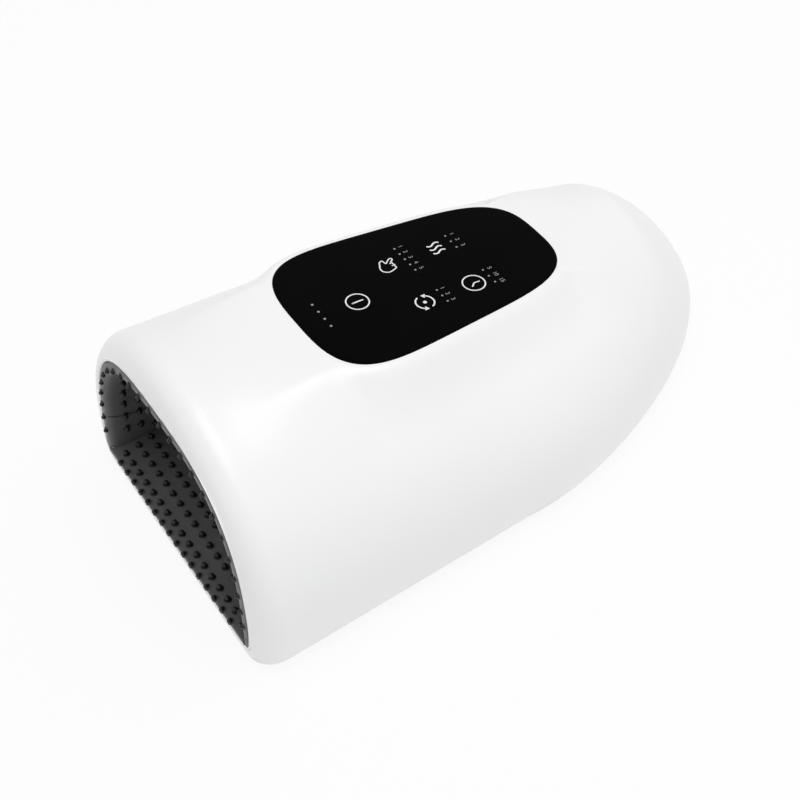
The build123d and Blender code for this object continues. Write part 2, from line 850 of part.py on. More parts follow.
with BuildPart() as airbag:
    add(pad_block(bag_bottom, airbag_thickness, airbag_thickness / 3))
write_piece(airbag, "airbag")

with BuildPart() as bag_spout:
    with BuildSketch(back_plane(pad_back + seat_gap)):
        with Locations((-bag_spout_place, spout_level)):
            Circle(bag_spout_radius)
            Circle(bag_spout_bore, mode=Mode.SUBTRACT)
    extrude(amount=bag_spout_end - pad_back - seat_gap)
write_piece(bag_spout, "bag_spout")

with BuildPart() as massage_plate:
    add(pad_block(plate_bottom, plate_thickness, 0))
write_piece(massage_plate, "massage_plate")

with BuildPart() as pad_heater:
    add(pad_block(pad_top, heater_thickness, 0))
write_piece(pad_heater, "pad_heater")

pad_studs = stud_places(pad_front, pad_back, lambda y: pad_half_width, stud_edge_margin)
with BuildPart() as massage_pad:
    add(pad_block(pad_bottom, pad_thickness, 0))
    with BuildSketch(level(pad_bottom)):
        with Locations(pad_studs):
            Circle(stud_radius)
    extrude(amount=-stud_height, taper=stud_taper)
write_piece(massage_pad, "massage_pad")

# Touch panel: the black lens, its circuit board, lamps and screws
lens_bottom = lens_thickness - lens_stand
with BuildPart() as touch_panel:
    add(panel_form(-lens_stand, 0, lens_bottom, 0))
write_piece(touch_panel, "touch_panel")

board_top = ledge_underside + seat_gap
with BuildPart() as touch_board:
    add(panel_form(board_top, -board_inset, board_top + board_thickness, -board_inset))
    with BuildSketch(panel_plane(board_top - overrun)):
        with Locations([panel_point(x, y) for x, y in board_screw_places]):
            Circle(pilot_radius + seat_gap)
    extrude(amount=-(board_thickness + 2 * overrun), mode=Mode.SUBTRACT)
write_piece(touch_board, "touch_board")

lamp_places = [((k - 1.5) * lamp_step, charge_place) for k in range(4)]
lamp_places += [(-key_offset + (k - 2) * lamp_step, strength_place + lamp_ahead) for k in range(5)]
lamp_places += [(key_offset + (k - 1) * lamp_step, strength_place + lamp_ahead) for k in range(3)]
lamp_places += [(-key_offset + (k - 1) * lamp_step, heat_place + lamp_ahead) for k in range(3)]
lamp_places += [(key_offset + (k - 1) * lamp_step, heat_place + lamp_ahead) for k in range(3)]
with BuildPart() as indicator_lamps:
    with BuildSketch(panel_plane(board_top)):
        with Locations([panel_point(x, y) for x, y in lamp_places]):
            Rectangle(lamp_side, lamp_side)
    extrude(amount=lamp_height)
write_piece(indicator_lamps, "indicator_lamps")

# Small screws of both boards
with BuildPart() as board_screws:
    with BuildSketch(panel_plane(board_top + board_thickness)):
        with Locations([panel_point(x, y) for x, y in board_screw_places]):
            Circle(pilot_radius - thread_gap)
    extrude(amount=board_thickness + seat_gap + board_screw_bite - screw_gap)
    with BuildSketch(panel_plane(board_top + board_thickness)):
        with Locations([panel_point(x, y) for x, y in board_screw_places]):
            Circle(board_screw_head)
    extrude(amount=-board_screw_head_height)
    with BuildSketch(back_plane(main_board_place + main_board_wall)):
        with Locations(standoffs):
            Circle(board_screw_head)
    extrude(amount=board_screw_head_height)
    with BuildSketch(back_plane(main_board_place + main_board_wall)):
        with Locations(standoffs):
            Circle(pilot_radius - thread_gap)
    extrude(amount=-(main_board_wall + board_screw_bite))
write_piece(board_screws, "board_screws")

# Battery on its shelf, and the main board with its parts
with BuildPart() as battery_pack:
    with BuildSketch(level(battery_level)):
        with Locations((0, battery_place + battery_depth / 2)):
            Rectangle(battery_width, battery_depth)
    extrude(amount=battery_height)
    fillet(battery_pack.edges().filter_by(Axis.Z), radius=battery_corner)
write_piece(battery_pack, "battery_pack")

board_middle = main_board_level + main_board_height / 2
with BuildPart() as main_board:
    with BuildSketch(back_plane(main_board_place)):
        with Locations((0, board_middle)):
            Rectangle(main_board_width, main_board_height)
        with Locations(standoffs):
            Circle(pilot_radius + seat_gap, mode=Mode.SUBTRACT)
    extrude(amount=main_board_wall)
write_piece(main_board, "main_board")

board_top_level = main_board_level + main_board_height
with BuildPart() as board_parts:
    for x, z, width, height, depth in board_part_sizes:
        with BuildSketch(back_plane(main_board_place + main_board_wall)):
            with Locations((-x, z)):
                Rectangle(width, height)
        extrude(amount=depth)
    with BuildSketch(back_plane(main_board_place)):
        with Locations((0, board_top_level - flex_socket_height / 2)):
            Rectangle(flex_socket_width, flex_socket_height)
    extrude(amount=-flex_socket_depth)
write_piece(board_parts, "board_parts")

# Flat cable from the touch board's underside, over the frame and down to the main board
flex_start = panel_place + panel_half_length - flex_socket_width
flex_drop = board_top + board_thickness + flex_wall
flex_high = panel_height + panel_slope_share * (flex_start - panel_place) - flex_drop
flex_end = main_board_place - flex_socket_depth / 2
flex_points = [
    (flex_start, flex_high),
    (flex_start + flex_width, flex_high + panel_slope_share * flex_width),
    (flex_end - flex_width, board_top_level + flex_rise),
    (flex_end, board_top_level + flex_width),
    (flex_end, board_top_level + seat_gap),
]
flex_plane = Plane(origin=(-flex_width / 2, front_place, foot_height), x_dir=(0, 1, 0), z_dir=(1, 0, 0))
with BuildPart() as flex_cable:
    with BuildSketch(flex_plane):
        with BuildLine() as flex_line:
            FilletPolyline(*flex_points, radius=flex_width / 4)
        trace(flex_line.line, line_width=flex_wall)
    extrude(amount=flex_width)
write_piece(flex_cable, "flex_cable")

# Pump motor: can, magnets, bushes, and the rotor that turns in them
motor_right = motor_left + motor_length
can_inside = motor_radius - motor_wall
with BuildPart() as motor_can:
    with BuildSketch(across(motor_left)):
        Circle(motor_radius)
    extrude(amount=motor_length)
    with BuildSketch(across(motor_left + motor_end_wall)):
        Circle(can_inside)
    extrude(amount=motor_length - 2 * motor_end_wall, mode=Mode.SUBTRACT)
    with BuildSketch(across(motor_left - overrun)):
        Circle(shaft_radius + bush_radius / 3)
    extrude(amount=motor_length + 2 * overrun, mode=Mode.SUBTRACT)
write_piece(motor_can, "motor_can")

with BuildPart() as motor_magnets:
    for mid in (0, 180):
        with BuildSketch(across(motor_left + motor_length / 2 - armature_length / 2)):
            with BuildLine():
                outer = CenterArc((0, 0), can_inside - magnet_gap, mid - magnet_angle / 2, magnet_angle)
                inner = CenterArc((0, 0), can_inside - magnet_wall, mid - magnet_angle / 2, magnet_angle)
                Line(outer @ 0, inner @ 0)
                Line(outer @ 1, inner @ 1)
            make_face()
        extrude(amount=armature_length)
write_piece(motor_magnets, "motor_magnets")

bush_bore = shaft_radius + shaft_gap
with BuildPart() as motor_bushes:
    for x in (motor_left + motor_end_wall, motor_right - motor_end_wall - bush_depth):
        with BuildSketch(across(x)):
            Circle(bush_radius)
            Circle(bush_bore, mode=Mode.SUBTRACT)
        extrude(amount=bush_depth)
write_piece(motor_bushes, "motor_bushes")

cam_left = motor_right + head_wall + seat_gap + cam_gap
with BuildPart() as motor_rotor:
    with BuildSketch(across(motor_left)):
        Circle(shaft_radius)
    extrude(amount=cam_left + cam_width - motor_left)
    with BuildSketch(across(motor_left + motor_length / 2 - armature_length / 2)):
        Circle(armature_radius)
    extrude(amount=armature_length)
write_piece(motor_rotor, "motor_rotor")

with BuildPart() as pump_cam:
    with BuildSketch(across(cam_left)):
        with Locations((cam_throw, 0)):
            Circle(cam_radius)
        Circle(shaft_radius, mode=Mode.SUBTRACT)
    extrude(amount=cam_width)
write_piece(pump_cam, "pump_cam")

# Pump head with its chamber, the rubber diaphragm, and the cap with the nozzle
head_left = motor_right + seat_gap
head_right = head_left + head_length
with BuildPart() as pump_head:
    with BuildSketch(across(head_left)):
        Circle(head_radius)
    extrude(amount=head_length)
    with BuildSketch(across(head_left + head_wall)):
        Circle(chamber_radius)
    extrude(amount=head_length, mode=Mode.SUBTRACT)
    with BuildSketch(across(head_left - overrun)):
        Circle(shaft_radius + bush_radius / 3)
    extrude(amount=head_length, mode=Mode.SUBTRACT)
write_piece(pump_head, "pump_head")

with BuildPart() as pump_diaphragm:
    with BuildSketch(across(head_right)):
        Circle(head_radius)
    extrude(amount=diaphragm_wall)
write_piece(pump_diaphragm, "pump_diaphragm")

cap_left = head_right + diaphragm_wall
nozzle_x = cap_left + cap_length / 2
with BuildPart() as pump_cap:
    with BuildSketch(across(cap_left)):
        Circle(head_radius)
    extrude(amount=cap_length)
    with BuildSketch(across(cap_left)):
        with PolarLocations(cup_circle, 3):
            Circle(cup_radius)
    extrude(amount=cup_depth, mode=Mode.SUBTRACT)
    with BuildSketch(level(motor_level + cup_radius)):
        with Locations((nozzle_x, motor_place)):
            Circle(nozzle_radius)
    extrude(amount=head_radius - cup_radius + nozzle_length)
    with BuildSketch(level(motor_level + cup_radius)):
        with Locations((nozzle_x, motor_place)):
            Circle(nozzle_bore)
    extrude(amount=head_radius + nozzle_length, mode=Mode.SUBTRACT)
write_piece(pump_cap, "pump_cap")

# Bracket that carries the pump on the base's posts
bracket_middle = (bracket_front + bracket_back) / 2
with BuildPart() as pump_bracket:
    with BuildSketch(level(frame_underside)):
        with Locations((0, bracket_middle)):
            Rectangle(2 * bracket_half_width, bracket_back - bracket_front)
    extrude(amount=frame_floor_wall)
    for x in saddle_places:
        with BuildSketch(across(x - saddle_wall / 2)):
            with Locations((0, (frame_floor - motor_level) / 2)):
                Rectangle(2 * (motor_radius - saddle_reach / 3), motor_level - frame_floor)
        extrude(amount=saddle_wall)
    with BuildSketch(across(motor_left)):
        Circle(motor_radius + seat_gap)
    extrude(amount=motor_length, mode=Mode.SUBTRACT)
    with BuildSketch(level(frame_underside - overrun)):
        with Locations(mirrored(bracket_post)):
            Circle(screw_hole)
    extrude(amount=frame_floor_wall + 2 * overrun, mode=Mode.SUBTRACT)
    with BuildSketch(level(frame_floor - screw_head_height)):
        with Locations(mirrored(bracket_post)):
            Circle(screw_head_radius + seat_gap)
    extrude(amount=screw_head_height + overrun, mode=Mode.SUBTRACT)
write_piece(pump_bracket, "pump_bracket")

# Air release valve: body, coil, plunger and its spring
valve_y = main_board_place + main_board_wall + valve_side / 2
valve_axis = (valve_x, valve_y)
coil_low = valve_level + valve_wall
coil_top = coil_low + coil_length
head_low = coil_top + spring_length
head_top = head_low + plunger_head_wall
valve_top = valve_level + valve_height
with BuildPart() as valve_body:
    with BuildSketch(level(valve_level)):
        with Locations(valve_axis):
            Rectangle(valve_side, valve_side)
    extrude(amount=valve_height)
    with BuildSketch(level(coil_low)):
        with Locations(valve_axis):
            Rectangle(valve_side - 2 * valve_wall, valve_side - 2 * valve_wall)
    extrude(amount=valve_height - 2 * valve_wall, mode=Mode.SUBTRACT)
    with BuildSketch(level(head_top + seat_gap)):
        with Locations(valve_axis):
            Circle(valve_seat_radius)
    extrude(amount=valve_top - head_top)
    with BuildSketch(level(head_top)):
        with Locations(valve_axis):
            Circle(valve_seat_bore)
    extrude(amount=valve_top - head_top + overrun, mode=Mode.SUBTRACT)
write_piece(valve_body, "valve_body")

with BuildPart() as valve_coil:
    with BuildSketch(level(coil_low)):
        with Locations(valve_axis):
            Circle(coil_radius)
            Circle(plunger_radius + plunger_gap, mode=Mode.SUBTRACT)
    extrude(amount=coil_length)
write_piece(valve_coil, "valve_coil")

with BuildPart() as valve_plunger:
    with BuildSketch(level(head_low)):
        with Locations(valve_axis):
            Circle(plunger_head_radius)
    extrude(amount=plunger_head_wall)
    with BuildSketch(level(head_low)):
        with Locations(valve_axis):
            Circle(plunger_radius)
    extrude(amount=-plunger_length)
write_piece(valve_plunger, "valve_plunger")

with BuildPart() as valve_spring:
    with BuildSketch(level(coil_top)):
        with Locations(valve_axis):
            Circle(spring_radius)
            Circle(spring_radius - spring_wall, mode=Mode.SUBTRACT)
    extrude(amount=spring_length)
write_piece(valve_spring, "valve_spring")


def hose_radii(route):
    """Bend radius at each inner point of a route, as large as its two runs allow."""
    radii = []
    for before, point, after in zip(route, route[1:], route[2:]):
        into = Vector(*point) - Vector(*before)
        out = Vector(*after) - Vector(*point)
        half_turn = into.get_angle(out) / 2 * pi / 180
        radii.append(bend_share * min(into.length, out.length) * cos(half_turn) / sin(half_turn))
    return radii


# Air hose from the nozzle to the bag's spout
hose_foot = motor_level + head_radius + nozzle_length - hose_grip
hose_route = [
    (nozzle_x, motor_place, hose_foot),
    (nozzle_x, motor_place, hose_foot + hose_run_up),
    hose_turn,
    (bag_spout_place, bag_spout_end - hose_grip + hose_run_in, spout_level),
    (bag_spout_place, bag_spout_end - hose_grip, spout_level),
]
hose_points = [(x, front_place + y, foot_height + z) for x, y, z in hose_route]
radii = hose_radii(hose_points)
print("hose bend radii", [round(radius, 1) for radius in radii])
with BuildLine() as hose_line:
    FilletPolyline(*hose_points, radius=radii)
with BuildPart() as air_hose:
    with BuildSketch(Plane(origin=hose_points[0], z_dir=(0, 0, 1))):
        Circle(hose_radius)
        Circle(nozzle_radius + tube_gap, mode=Mode.SUBTRACT)
    sweep(path=hose_line.line)
write_piece(air_hose, "air_hose")

# Charging socket in its port on the far side, and the small board behind it
with BuildPart() as charge_socket:
    with BuildSketch(side_plane(socket_face)):
        SlotOverall(socket_width, socket_height)
    extrude(amount=socket_depth)
    with BuildSketch(side_plane(socket_face - overrun)):
        SlotOverall(socket_width - 2 * socket_wall, socket_height - 2 * socket_wall)
    extrude(amount=socket_depth - socket_wall + overrun, mode=Mode.SUBTRACT)
    with BuildSketch(side_plane(socket_face + tab_set_back)):
        Rectangle(tab_width, tab_height)
    extrude(amount=socket_depth - tab_set_back)
write_piece(charge_socket, "charge_socket")

with BuildPart() as socket_board:
    with BuildSketch(side_plane(socket_face + socket_depth)):
        Rectangle(socket_board_width, socket_board_height)
    extrude(amount=socket_board_wall)
write_piece(socket_board, "socket_board")
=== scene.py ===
import json
from math import ceil, cos, floor, pi, radians, sin, sqrt
import bmesh
import bpy
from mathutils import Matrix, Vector


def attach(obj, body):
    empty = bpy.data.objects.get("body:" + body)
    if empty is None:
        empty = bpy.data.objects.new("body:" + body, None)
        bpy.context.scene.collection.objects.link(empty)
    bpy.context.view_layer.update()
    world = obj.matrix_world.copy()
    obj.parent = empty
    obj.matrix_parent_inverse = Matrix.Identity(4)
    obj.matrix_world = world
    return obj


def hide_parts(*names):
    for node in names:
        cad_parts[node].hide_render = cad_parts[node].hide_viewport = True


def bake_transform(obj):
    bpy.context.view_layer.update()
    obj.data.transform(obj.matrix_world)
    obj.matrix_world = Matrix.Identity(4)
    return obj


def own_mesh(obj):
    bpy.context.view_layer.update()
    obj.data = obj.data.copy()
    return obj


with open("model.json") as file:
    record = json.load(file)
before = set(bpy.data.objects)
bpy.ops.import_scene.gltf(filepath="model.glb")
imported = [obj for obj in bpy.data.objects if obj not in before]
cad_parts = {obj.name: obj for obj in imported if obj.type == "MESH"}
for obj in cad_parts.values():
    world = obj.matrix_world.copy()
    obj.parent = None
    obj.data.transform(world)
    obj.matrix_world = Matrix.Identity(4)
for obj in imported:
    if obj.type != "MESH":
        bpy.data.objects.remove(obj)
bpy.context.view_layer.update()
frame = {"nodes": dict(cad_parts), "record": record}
nodes = frame["nodes"]
print("frame loaded:", len(nodes), "nodes")

# Sizes are in millimetres: y runs back from the mouth, z up from the shell's base, x across.
shellSize = {
    "width": 150.0, "length": 250.6, "waistWidth": 147.9, "waistPlace": 135.7,
    "roofAtMouth": 95.0, "roofPull": 76.6, "roofAtNose": 69.6, "nosePlace": 209.3,
    "footHeight": 2.0, "rim": 11.45, "lip": 3.6, "corner": 5.5, "tuckHeight": 47.4,
    "noseCut": 1.2, "noseEnd": 250.25, "tuck": 0.082, "lean": 0.1015,
    "planPower": 1.48, "planRoot": 1 / 1.76, "roofPower": 1.49, "roofRoot": 1 / 1.56,
    "sidePower": 1.86, "crownPower": 2.73,
}
mouthPlace = -(shellSize["lean"] * shellSize["lip"] + shellSize["length"] - shellSize["noseCut"]) / 2


def halfWidthAt(y):
    s = shellSize
    share = max(0.0, (y - s["waistPlace"]) / (s["length"] - s["waistPlace"]))
    straight = s["width"] / 2 + (s["waistWidth"] - s["width"]) / 2 * y / s["waistPlace"]
    return straight * max(0.0, 1 - share ** s["planPower"]) ** s["planRoot"]


def roofAt(y):
    s = shellSize
    t = y / s["nosePlace"]
    ridge = (1 - t) ** 2 * s["roofAtMouth"] + 2 * t * (1 - t) * s["roofPull"] + t * t * s["roofAtNose"]
    share = max(0.0, (y - s["nosePlace"]) / (s["length"] - s["nosePlace"]))
    return ridge * max(0.0, 1 - share ** s["roofPower"]) ** s["roofRoot"]


# a point of an upright section, which leans back with the mouth
def sectionSpot(x, y, z):
    lean = shellSize["lean"] * (1 - y / shellSize["length"])
    return Vector((x, mouthPlace + y + lean * z, shellSize["footHeight"] + z)) / 1000


# a point counted straight back from the mouth
def spot(x, y, z):
    return Vector((x, mouthPlace + y, shellSize["footHeight"] + z)) / 1000


archGather = 1.2  # how much the points of an arch gather at its foot


# half the width of an arch at one height; an arch is (half, base, top, side, crown, tuck)
def archHalf(z, arch):
    half, base, top, side, crown, tuck = arch
    rise = min(1.0, max(0.0, (z - base) / (top - base)))
    leanIn = 1 - tuck * max(0.0, 1 - z / shellSize["tuckHeight"]) ** 2
    return half * (1 - rise ** crown) ** (1 / side) * leanIn


# right half of an arch, from its foot to its crown
def archSide(arch, low, corner, cornerSteps, steps):
    base, top, crown = arch[1], arch[2], arch[4]
    line = []
    for k in range(cornerSteps):
        angle = pi / 2 * k / cornerSteps
        z = low + corner * (1 - cos(angle))
        line.append((archHalf(z, arch) - corner * (1 - sin(angle)), z))
    start = max(0.0, (low + corner - base) / (top - base)) ** (crown / 2)
    for k in range(steps + 1):
        share = start + (1 - start) * sin(pi / 2 * k / steps) ** archGather
        z = base + (top - base) * min(1.0, share) ** (2 / crown)
        if low + corner < base and k == 0:
            z = low + corner
        line.append((archHalf(z, arch) if k < steps else 0.0, z))
    return line


def wholeArch(arch, low, corner, cornerSteps, steps):
    right = archSide(arch, low, corner, cornerSteps, steps)
    return right + [(-x, z) for x, z in reversed(right[:-1])]


def arcPoints(u, v, radius, first, sweep, steps=48):
    angles = [first + sweep * k / steps for k in range(steps + 1)]
    return [(u + radius * cos(angle), v + radius * sin(angle)) for angle in angles]


# a rectangle with round corners, seen from above
def roundedLoop(half, front, back, corner, steps):
    points = []
    for sx, sy, first in ((1, 1, 0), (-1, 1, pi / 2), (-1, -1, pi), (1, -1, 3 * pi / 2)):
        cx = sx * (half - corner)
        cy = back - corner if sy > 0 else front + corner
        points += arcPoints(cx, cy, corner, first, pi / 2, steps)
    return points


# the two last limits round the value where a test turns false
def turningPoint(low, high, halvings, stillTrue):
    for _ in range(halvings):
        middle = (low + high) / 2
        if stillTrue(middle):
            low = middle
        else:
            high = middle
    return low, high


def smooth(share):
    share = min(1.0, max(0.0, share))
    return share * share * (3 - 2 * share)


# smooth shading, except across edges that turn by more than the angle
def shadeSmooth(bm, sharpAngle):
    for edge in bm.edges:
        edge.smooth = not (len(edge.link_faces) == 2 and edge.calc_face_angle(0.0) > radians(sharpAngle))
    for face in bm.faces:
        face.smooth = True


def newPiece(name, bm, materials, sharpAngle=34):
    shadeSmooth(bm, sharpAngle)
    mesh = bpy.data.meshes.new(name)
    bm.to_mesh(mesh)
    bm.free()
    piece = bpy.data.objects.new(name, mesh)
    bpy.context.scene.collection.objects.link(piece)
    for material in materials:
        mesh.materials.append(material)
    return piece


# quads between rings of the same number of points
def skinRings(bm, rings, closed=True, material=0):
    for first, second in zip(rings, rings[1:]):
        count = len(first)
        for k in range(count if closed else count - 1):
            after = (k + 1) % count
            face = bm.faces.new((first[k], first[after], second[after], second[k]))
            face.material_index = material


def ringOf(bm, points):
    return [bm.verts.new(point) for point in points]


def uprightRing(bm, y, line):
    return ringOf(bm, [sectionSpot(x, y, z) for x, z in line])


def flatRing(bm, outline, z):
    return ringOf(bm, [spot(x, y, z) for x, y in outline])


# lets all faces of a skin look to the same side
def evenFaces(bm):
    bmesh.ops.recalc_face_normals(bm, faces=bm.faces[:])


# a closed body: skin between its rings and a face over each end
def fillBody(bm, rings):
    skinRings(bm, rings)
    bm.faces.new(rings[0])
    bm.faces.new(rings[-1])
    evenFaces(bm)


# turns an open skin over if one of its faces looks away from a direction
def faceToward(bm, face, direction):
    if face.normal.dot(Vector(direction)) < 0:
        bmesh.ops.reverse_faces(bm, faces=bm.faces[:])


# works the modifiers of a piece into its mesh
def bakePiece(piece, sharpAngle=34):
    bpy.context.view_layer.update()
    graph = bpy.context.evaluated_depsgraph_get()
    mesh = bpy.data.meshes.new_from_object(piece.evaluated_get(graph))
    old = piece.data
    piece.modifiers.clear()
    piece.data = mesh
    bpy.data.meshes.remove(old)
    bm = bmesh.new()
    bm.from_mesh(mesh)
    shadeSmooth(bm, sharpAngle)
    bm.to_mesh(mesh)
    bm.free()


def cutWith(piece, tool):
    cut = piece.modifiers.new("cut", "BOOLEAN")
    cut.operation = "DIFFERENCE"
    cut.solver = "EXACT"
    cut.object = tool
    bakePiece(piece)
    bpy.data.objects.remove(tool)


# sets the inputs of a node, or links them where the value is another node's output
def wire(tree, node, inputs):
    for name, value in inputs.items():
        if isinstance(value, bpy.types.NodeSocket):
            tree.links.new(value, node.inputs[name])
        else:
            node.inputs[name].default_value = value
    return node


def newNode(tree, kind, inputs):
    return wire(tree, tree.nodes.new(kind), inputs)


def mathNode(tree, operation, first, second):
    node = newNode(tree, "ShaderNodeMath", {0: first, 1: second})
    node.operation = operation
    return node.outputs[0]


def startFinish(name):
    material = bpy.data.materials.new(name)
    material.use_nodes = True
    tree = material.node_tree
    where = tree.nodes.new("ShaderNodeTexCoord").outputs["Object"]
    return material, tree, tree.nodes["Principled BSDF"], where


def noiseOf(tree, where, scale, detail=3.0, stretch=None):
    if stretch:
        where = newNode(tree, "ShaderNodeMapping", {"Vector": where, "Scale": stretch}).outputs["Vector"]
    inputs = {"Vector": where, "Scale": scale, "Detail": detail}
    return newNode(tree, "ShaderNodeTexNoise", inputs).outputs["Fac"]


def blendTones(tree, factor, tones, places=(0.35, 0.65)):
    ramp = newNode(tree, "ShaderNodeValToRGB", {"Fac": factor})
    for element, place, tone in zip(ramp.color_ramp.elements, places, tones):
        element.position = place
        element.color = (*tone, 1)
    return ramp.outputs["Color"]


def mapRange(tree, factor, low, high, fromLow=0.3, fromHigh=0.7):
    limits = {"From Min": fromLow, "From Max": fromHigh, "To Min": low, "To Max": high}
    return newNode(tree, "ShaderNodeMapRange", {"Value": factor, **limits}).outputs["Result"]


# a bump on the shader, on top of an earlier one if that is given
def addBump(tree, shader, height, strength, depth, earlier=None):
    inputs = {"Strength": strength, "Distance": depth, "Height": height}
    if earlier:
        inputs["Normal"] = earlier
    bump = newNode(tree, "ShaderNodeBump", inputs).outputs["Normal"]
    wire(tree, shader, {"Normal": bump})
    return bump


# a finish from one dictionary: two tones and their scale, the least and most roughness and its scale,
# grain and finer grain with their scales; the depths of the grain are in metres
def makeFinish(name, look):
    material, tree, shader, where = startFinish(name)
    stretch = look.get("stretch")
    *tones, toneScale = look["tones"]
    tone = noiseOf(tree, where, toneScale, look.get("toneDetail", 4.0), stretch)
    low, high, roughScale = look["rough"]
    rough = noiseOf(tree, where, roughScale, 2.0, stretch)
    strength, grainScale = look["grain"]
    grain = noiseOf(tree, where, grainScale, look.get("grainDetail", 2.0), stretch)
    coarse = addBump(tree, shader, grain, strength, look.get("depth", 0.0002))
    if "fineGrain" in look:
        strength, fineScale = look["fineGrain"]
        addBump(tree, shader, noiseOf(tree, where, fineScale, 1.0), strength, 0.0001, coarse)
    wire(tree, shader, {
        "Base Color": blendTones(tree, tone, tones), "Roughness": mapRange(tree, rough, low, high),
        "Metallic": look.get("metal", 0.0), "Specular IOR Level": look.get("specular", 0.5),
        "Coat Weight": look.get("coat", 0.0), "Coat Roughness": look.get("coatRough", 0.03),
        "Sheen Weight": look.get("sheen", 0.0), "Sheen Roughness": 0.5,
    })
    return material


finishes = {
    "whiteShell": {"tones": ((0.9, 0.9, 0.905), (0.885, 0.887, 0.893), 14), "rough": (0.3, 0.38, 60),
        "grain": (0.035, 420), "fineGrain": (0.02, 2100), "coat": 0.2, "coatRough": 0.25},
    "whitePlastic": {"tones": ((0.8, 0.8, 0.8), (0.74, 0.745, 0.75), 20), "rough": (0.45, 0.6, 90),
        "grain": (0.12, 700), "fineGrain": (0.05, 3500)},
    "darkSilicone": {"tones": ((0.072, 0.07, 0.073), (0.088, 0.086, 0.09), 35), "rough": (0.5, 0.68, 180),
        "grain": (0.12, 1200), "fineGrain": (0.08, 6000), "sheen": 0.15, "specular": 0.4},
    "studSilicone": {"tones": ((0.006, 0.006, 0.0065), (0.009, 0.009, 0.0095), 60),
        "rough": (0.35, 0.48, 180), "grain": (0.08, 1200), "specular": 0.35},
    # the lip band's finish: the dark lining's silicone made paler, a painted highlight where the lip faces
    # the lamps
    "lipHighlightSilicone": {"tones": ((0.1, 0.1, 0.103), (0.15, 0.15, 0.154), 160), "rough": (0.42, 0.6, 220),
        "grain": (0.2, 900), "fineGrain": (0.08, 4500), "specular": 0.45},
    "footRubber": {"tones": ((0.24, 0.24, 0.25), (0.3, 0.3, 0.31), 90), "rough": (0.7, 0.88, 250),
        "grain": (0.3, 1400), "fineGrain": (0.2, 7000)},
    "screwSteel": {"tones": ((0.6, 0.6, 0.62), (0.48, 0.48, 0.5), 240), "rough": (0.25, 0.42, 500),
        "grain": (0.15, 1500), "metal": 1.0, "stretch": (1, 6, 1)},
    "amberFilm": {"tones": ((0.55, 0.33, 0.09), (0.45, 0.26, 0.06), 220), "rough": (0.3, 0.45, 200),
        "grain": (0.1, 500), "stretch": (8, 1, 1)},
    "bagFilm": {"tones": ((0.5, 0.52, 0.55), (0.42, 0.44, 0.47), 60), "rough": (0.35, 0.55, 120),
        "grain": (0.4, 260), "fineGrain": (0.15, 1300)},
    "boardGreen": {"tones": ((0.025, 0.17, 0.075), (0.04, 0.24, 0.11), 420), "rough": (0.35, 0.5, 300),
        "grain": (0.18, 900), "stretch": (1, 1, 5)},
    "lampResin": {"tones": ((0.85, 0.88, 0.95), (0.75, 0.8, 0.88), 900), "rough": (0.15, 0.25, 800),
        "grain": (0.05, 1500)},
    "batteryWrap": {"tones": ((0.08, 0.17, 0.45), (0.11, 0.22, 0.54), 40), "rough": (0.25, 0.42, 110),
        "grain": (0.3, 160), "fineGrain": (0.05, 800)},
    "blackPlastic": {"tones": ((0.028, 0.028, 0.03), (0.042, 0.042, 0.044), 120), "rough": (0.5, 0.68, 300),
        "grain": (0.25, 1300), "fineGrain": (0.1, 6500)},
    "ferrite": {"tones": ((0.1, 0.1, 0.11), (0.15, 0.15, 0.16), 600), "rough": (0.55, 0.75, 500),
        "grain": (0.35, 1500)},
    "sinteredBronze": {"tones": ((0.58, 0.38, 0.19), (0.45, 0.29, 0.13), 700), "rough": (0.4, 0.55, 900),
        "grain": (0.4, 2000), "metal": 1.0},
    "copperWire": {"tones": ((0.72, 0.38, 0.22), (0.5, 0.24, 0.12), 300), "rough": (0.3, 0.45, 300),
        "grain": (0.6, 500), "metal": 1.0, "stretch": (1, 1, 14)},
    "clearHose": {"tones": ((0.7, 0.7, 0.68), (0.62, 0.62, 0.6), 70), "rough": (0.3, 0.45, 160),
        "grain": (0.1, 600), "sheen": 0.1},
    "printWhite": {"tones": ((0.82, 0.83, 0.84), (0.76, 0.77, 0.78), 900), "rough": (0.4, 0.5, 900),
        "grain": (0.05, 2500)},
    "printGrey": {"tones": ((0.3, 0.305, 0.31), (0.26, 0.265, 0.27), 900), "rough": (0.4, 0.5, 900),
        "grain": (0.05, 2500)},
    # painted shadow: a near-black finish for the crease where the two linings meet
    "seamShadow": {"tones": ((0.02, 0.02, 0.022), (0.03, 0.03, 0.032), 400), "rough": (0.6, 0.8, 500),
        "grain": (0.1, 1500)},
    "glossBlack": {"tones": ((0.0012, 0.0012, 0.0014), (0.0018, 0.0018, 0.002), 25),
        "rough": (0.12, 0.18, 55), "grain": (0.02, 30), "fineGrain": (0.015, 1800), "depth": 0.0004,
        "toneDetail": 3.0, "grainDetail": 1.0, "specular": 0.012},
}
made = {name: makeFinish(name, look) for name, look in finishes.items()}

slotFinish = {
    "white_shell": "whiteShell", "white_plastic": "whitePlastic", "black_lens": "glossBlack",
    "dark_liner": "darkSilicone", "grey_rubber": "footRubber", "steel": "screwSteel",
    "heater_film": "amberFilm", "airbag_film": "bagFilm", "circuit_board": "boardGreen",
    "lamp_resin": "lampResin", "battery_wrap": "batteryWrap", "black_plastic": "blackPlastic",
    "magnet": "ferrite", "bronze": "sinteredBronze", "copper": "copperWire", "silicone": "clearHose",
}
for sub in frame["record"]["subparts"]:
    holder = nodes[sub["node"]]
    holder.data.materials.clear()
    holder.data.materials.append(made[slotFinish[sub["material_slot"]]])
print("finishes made:", len(made))


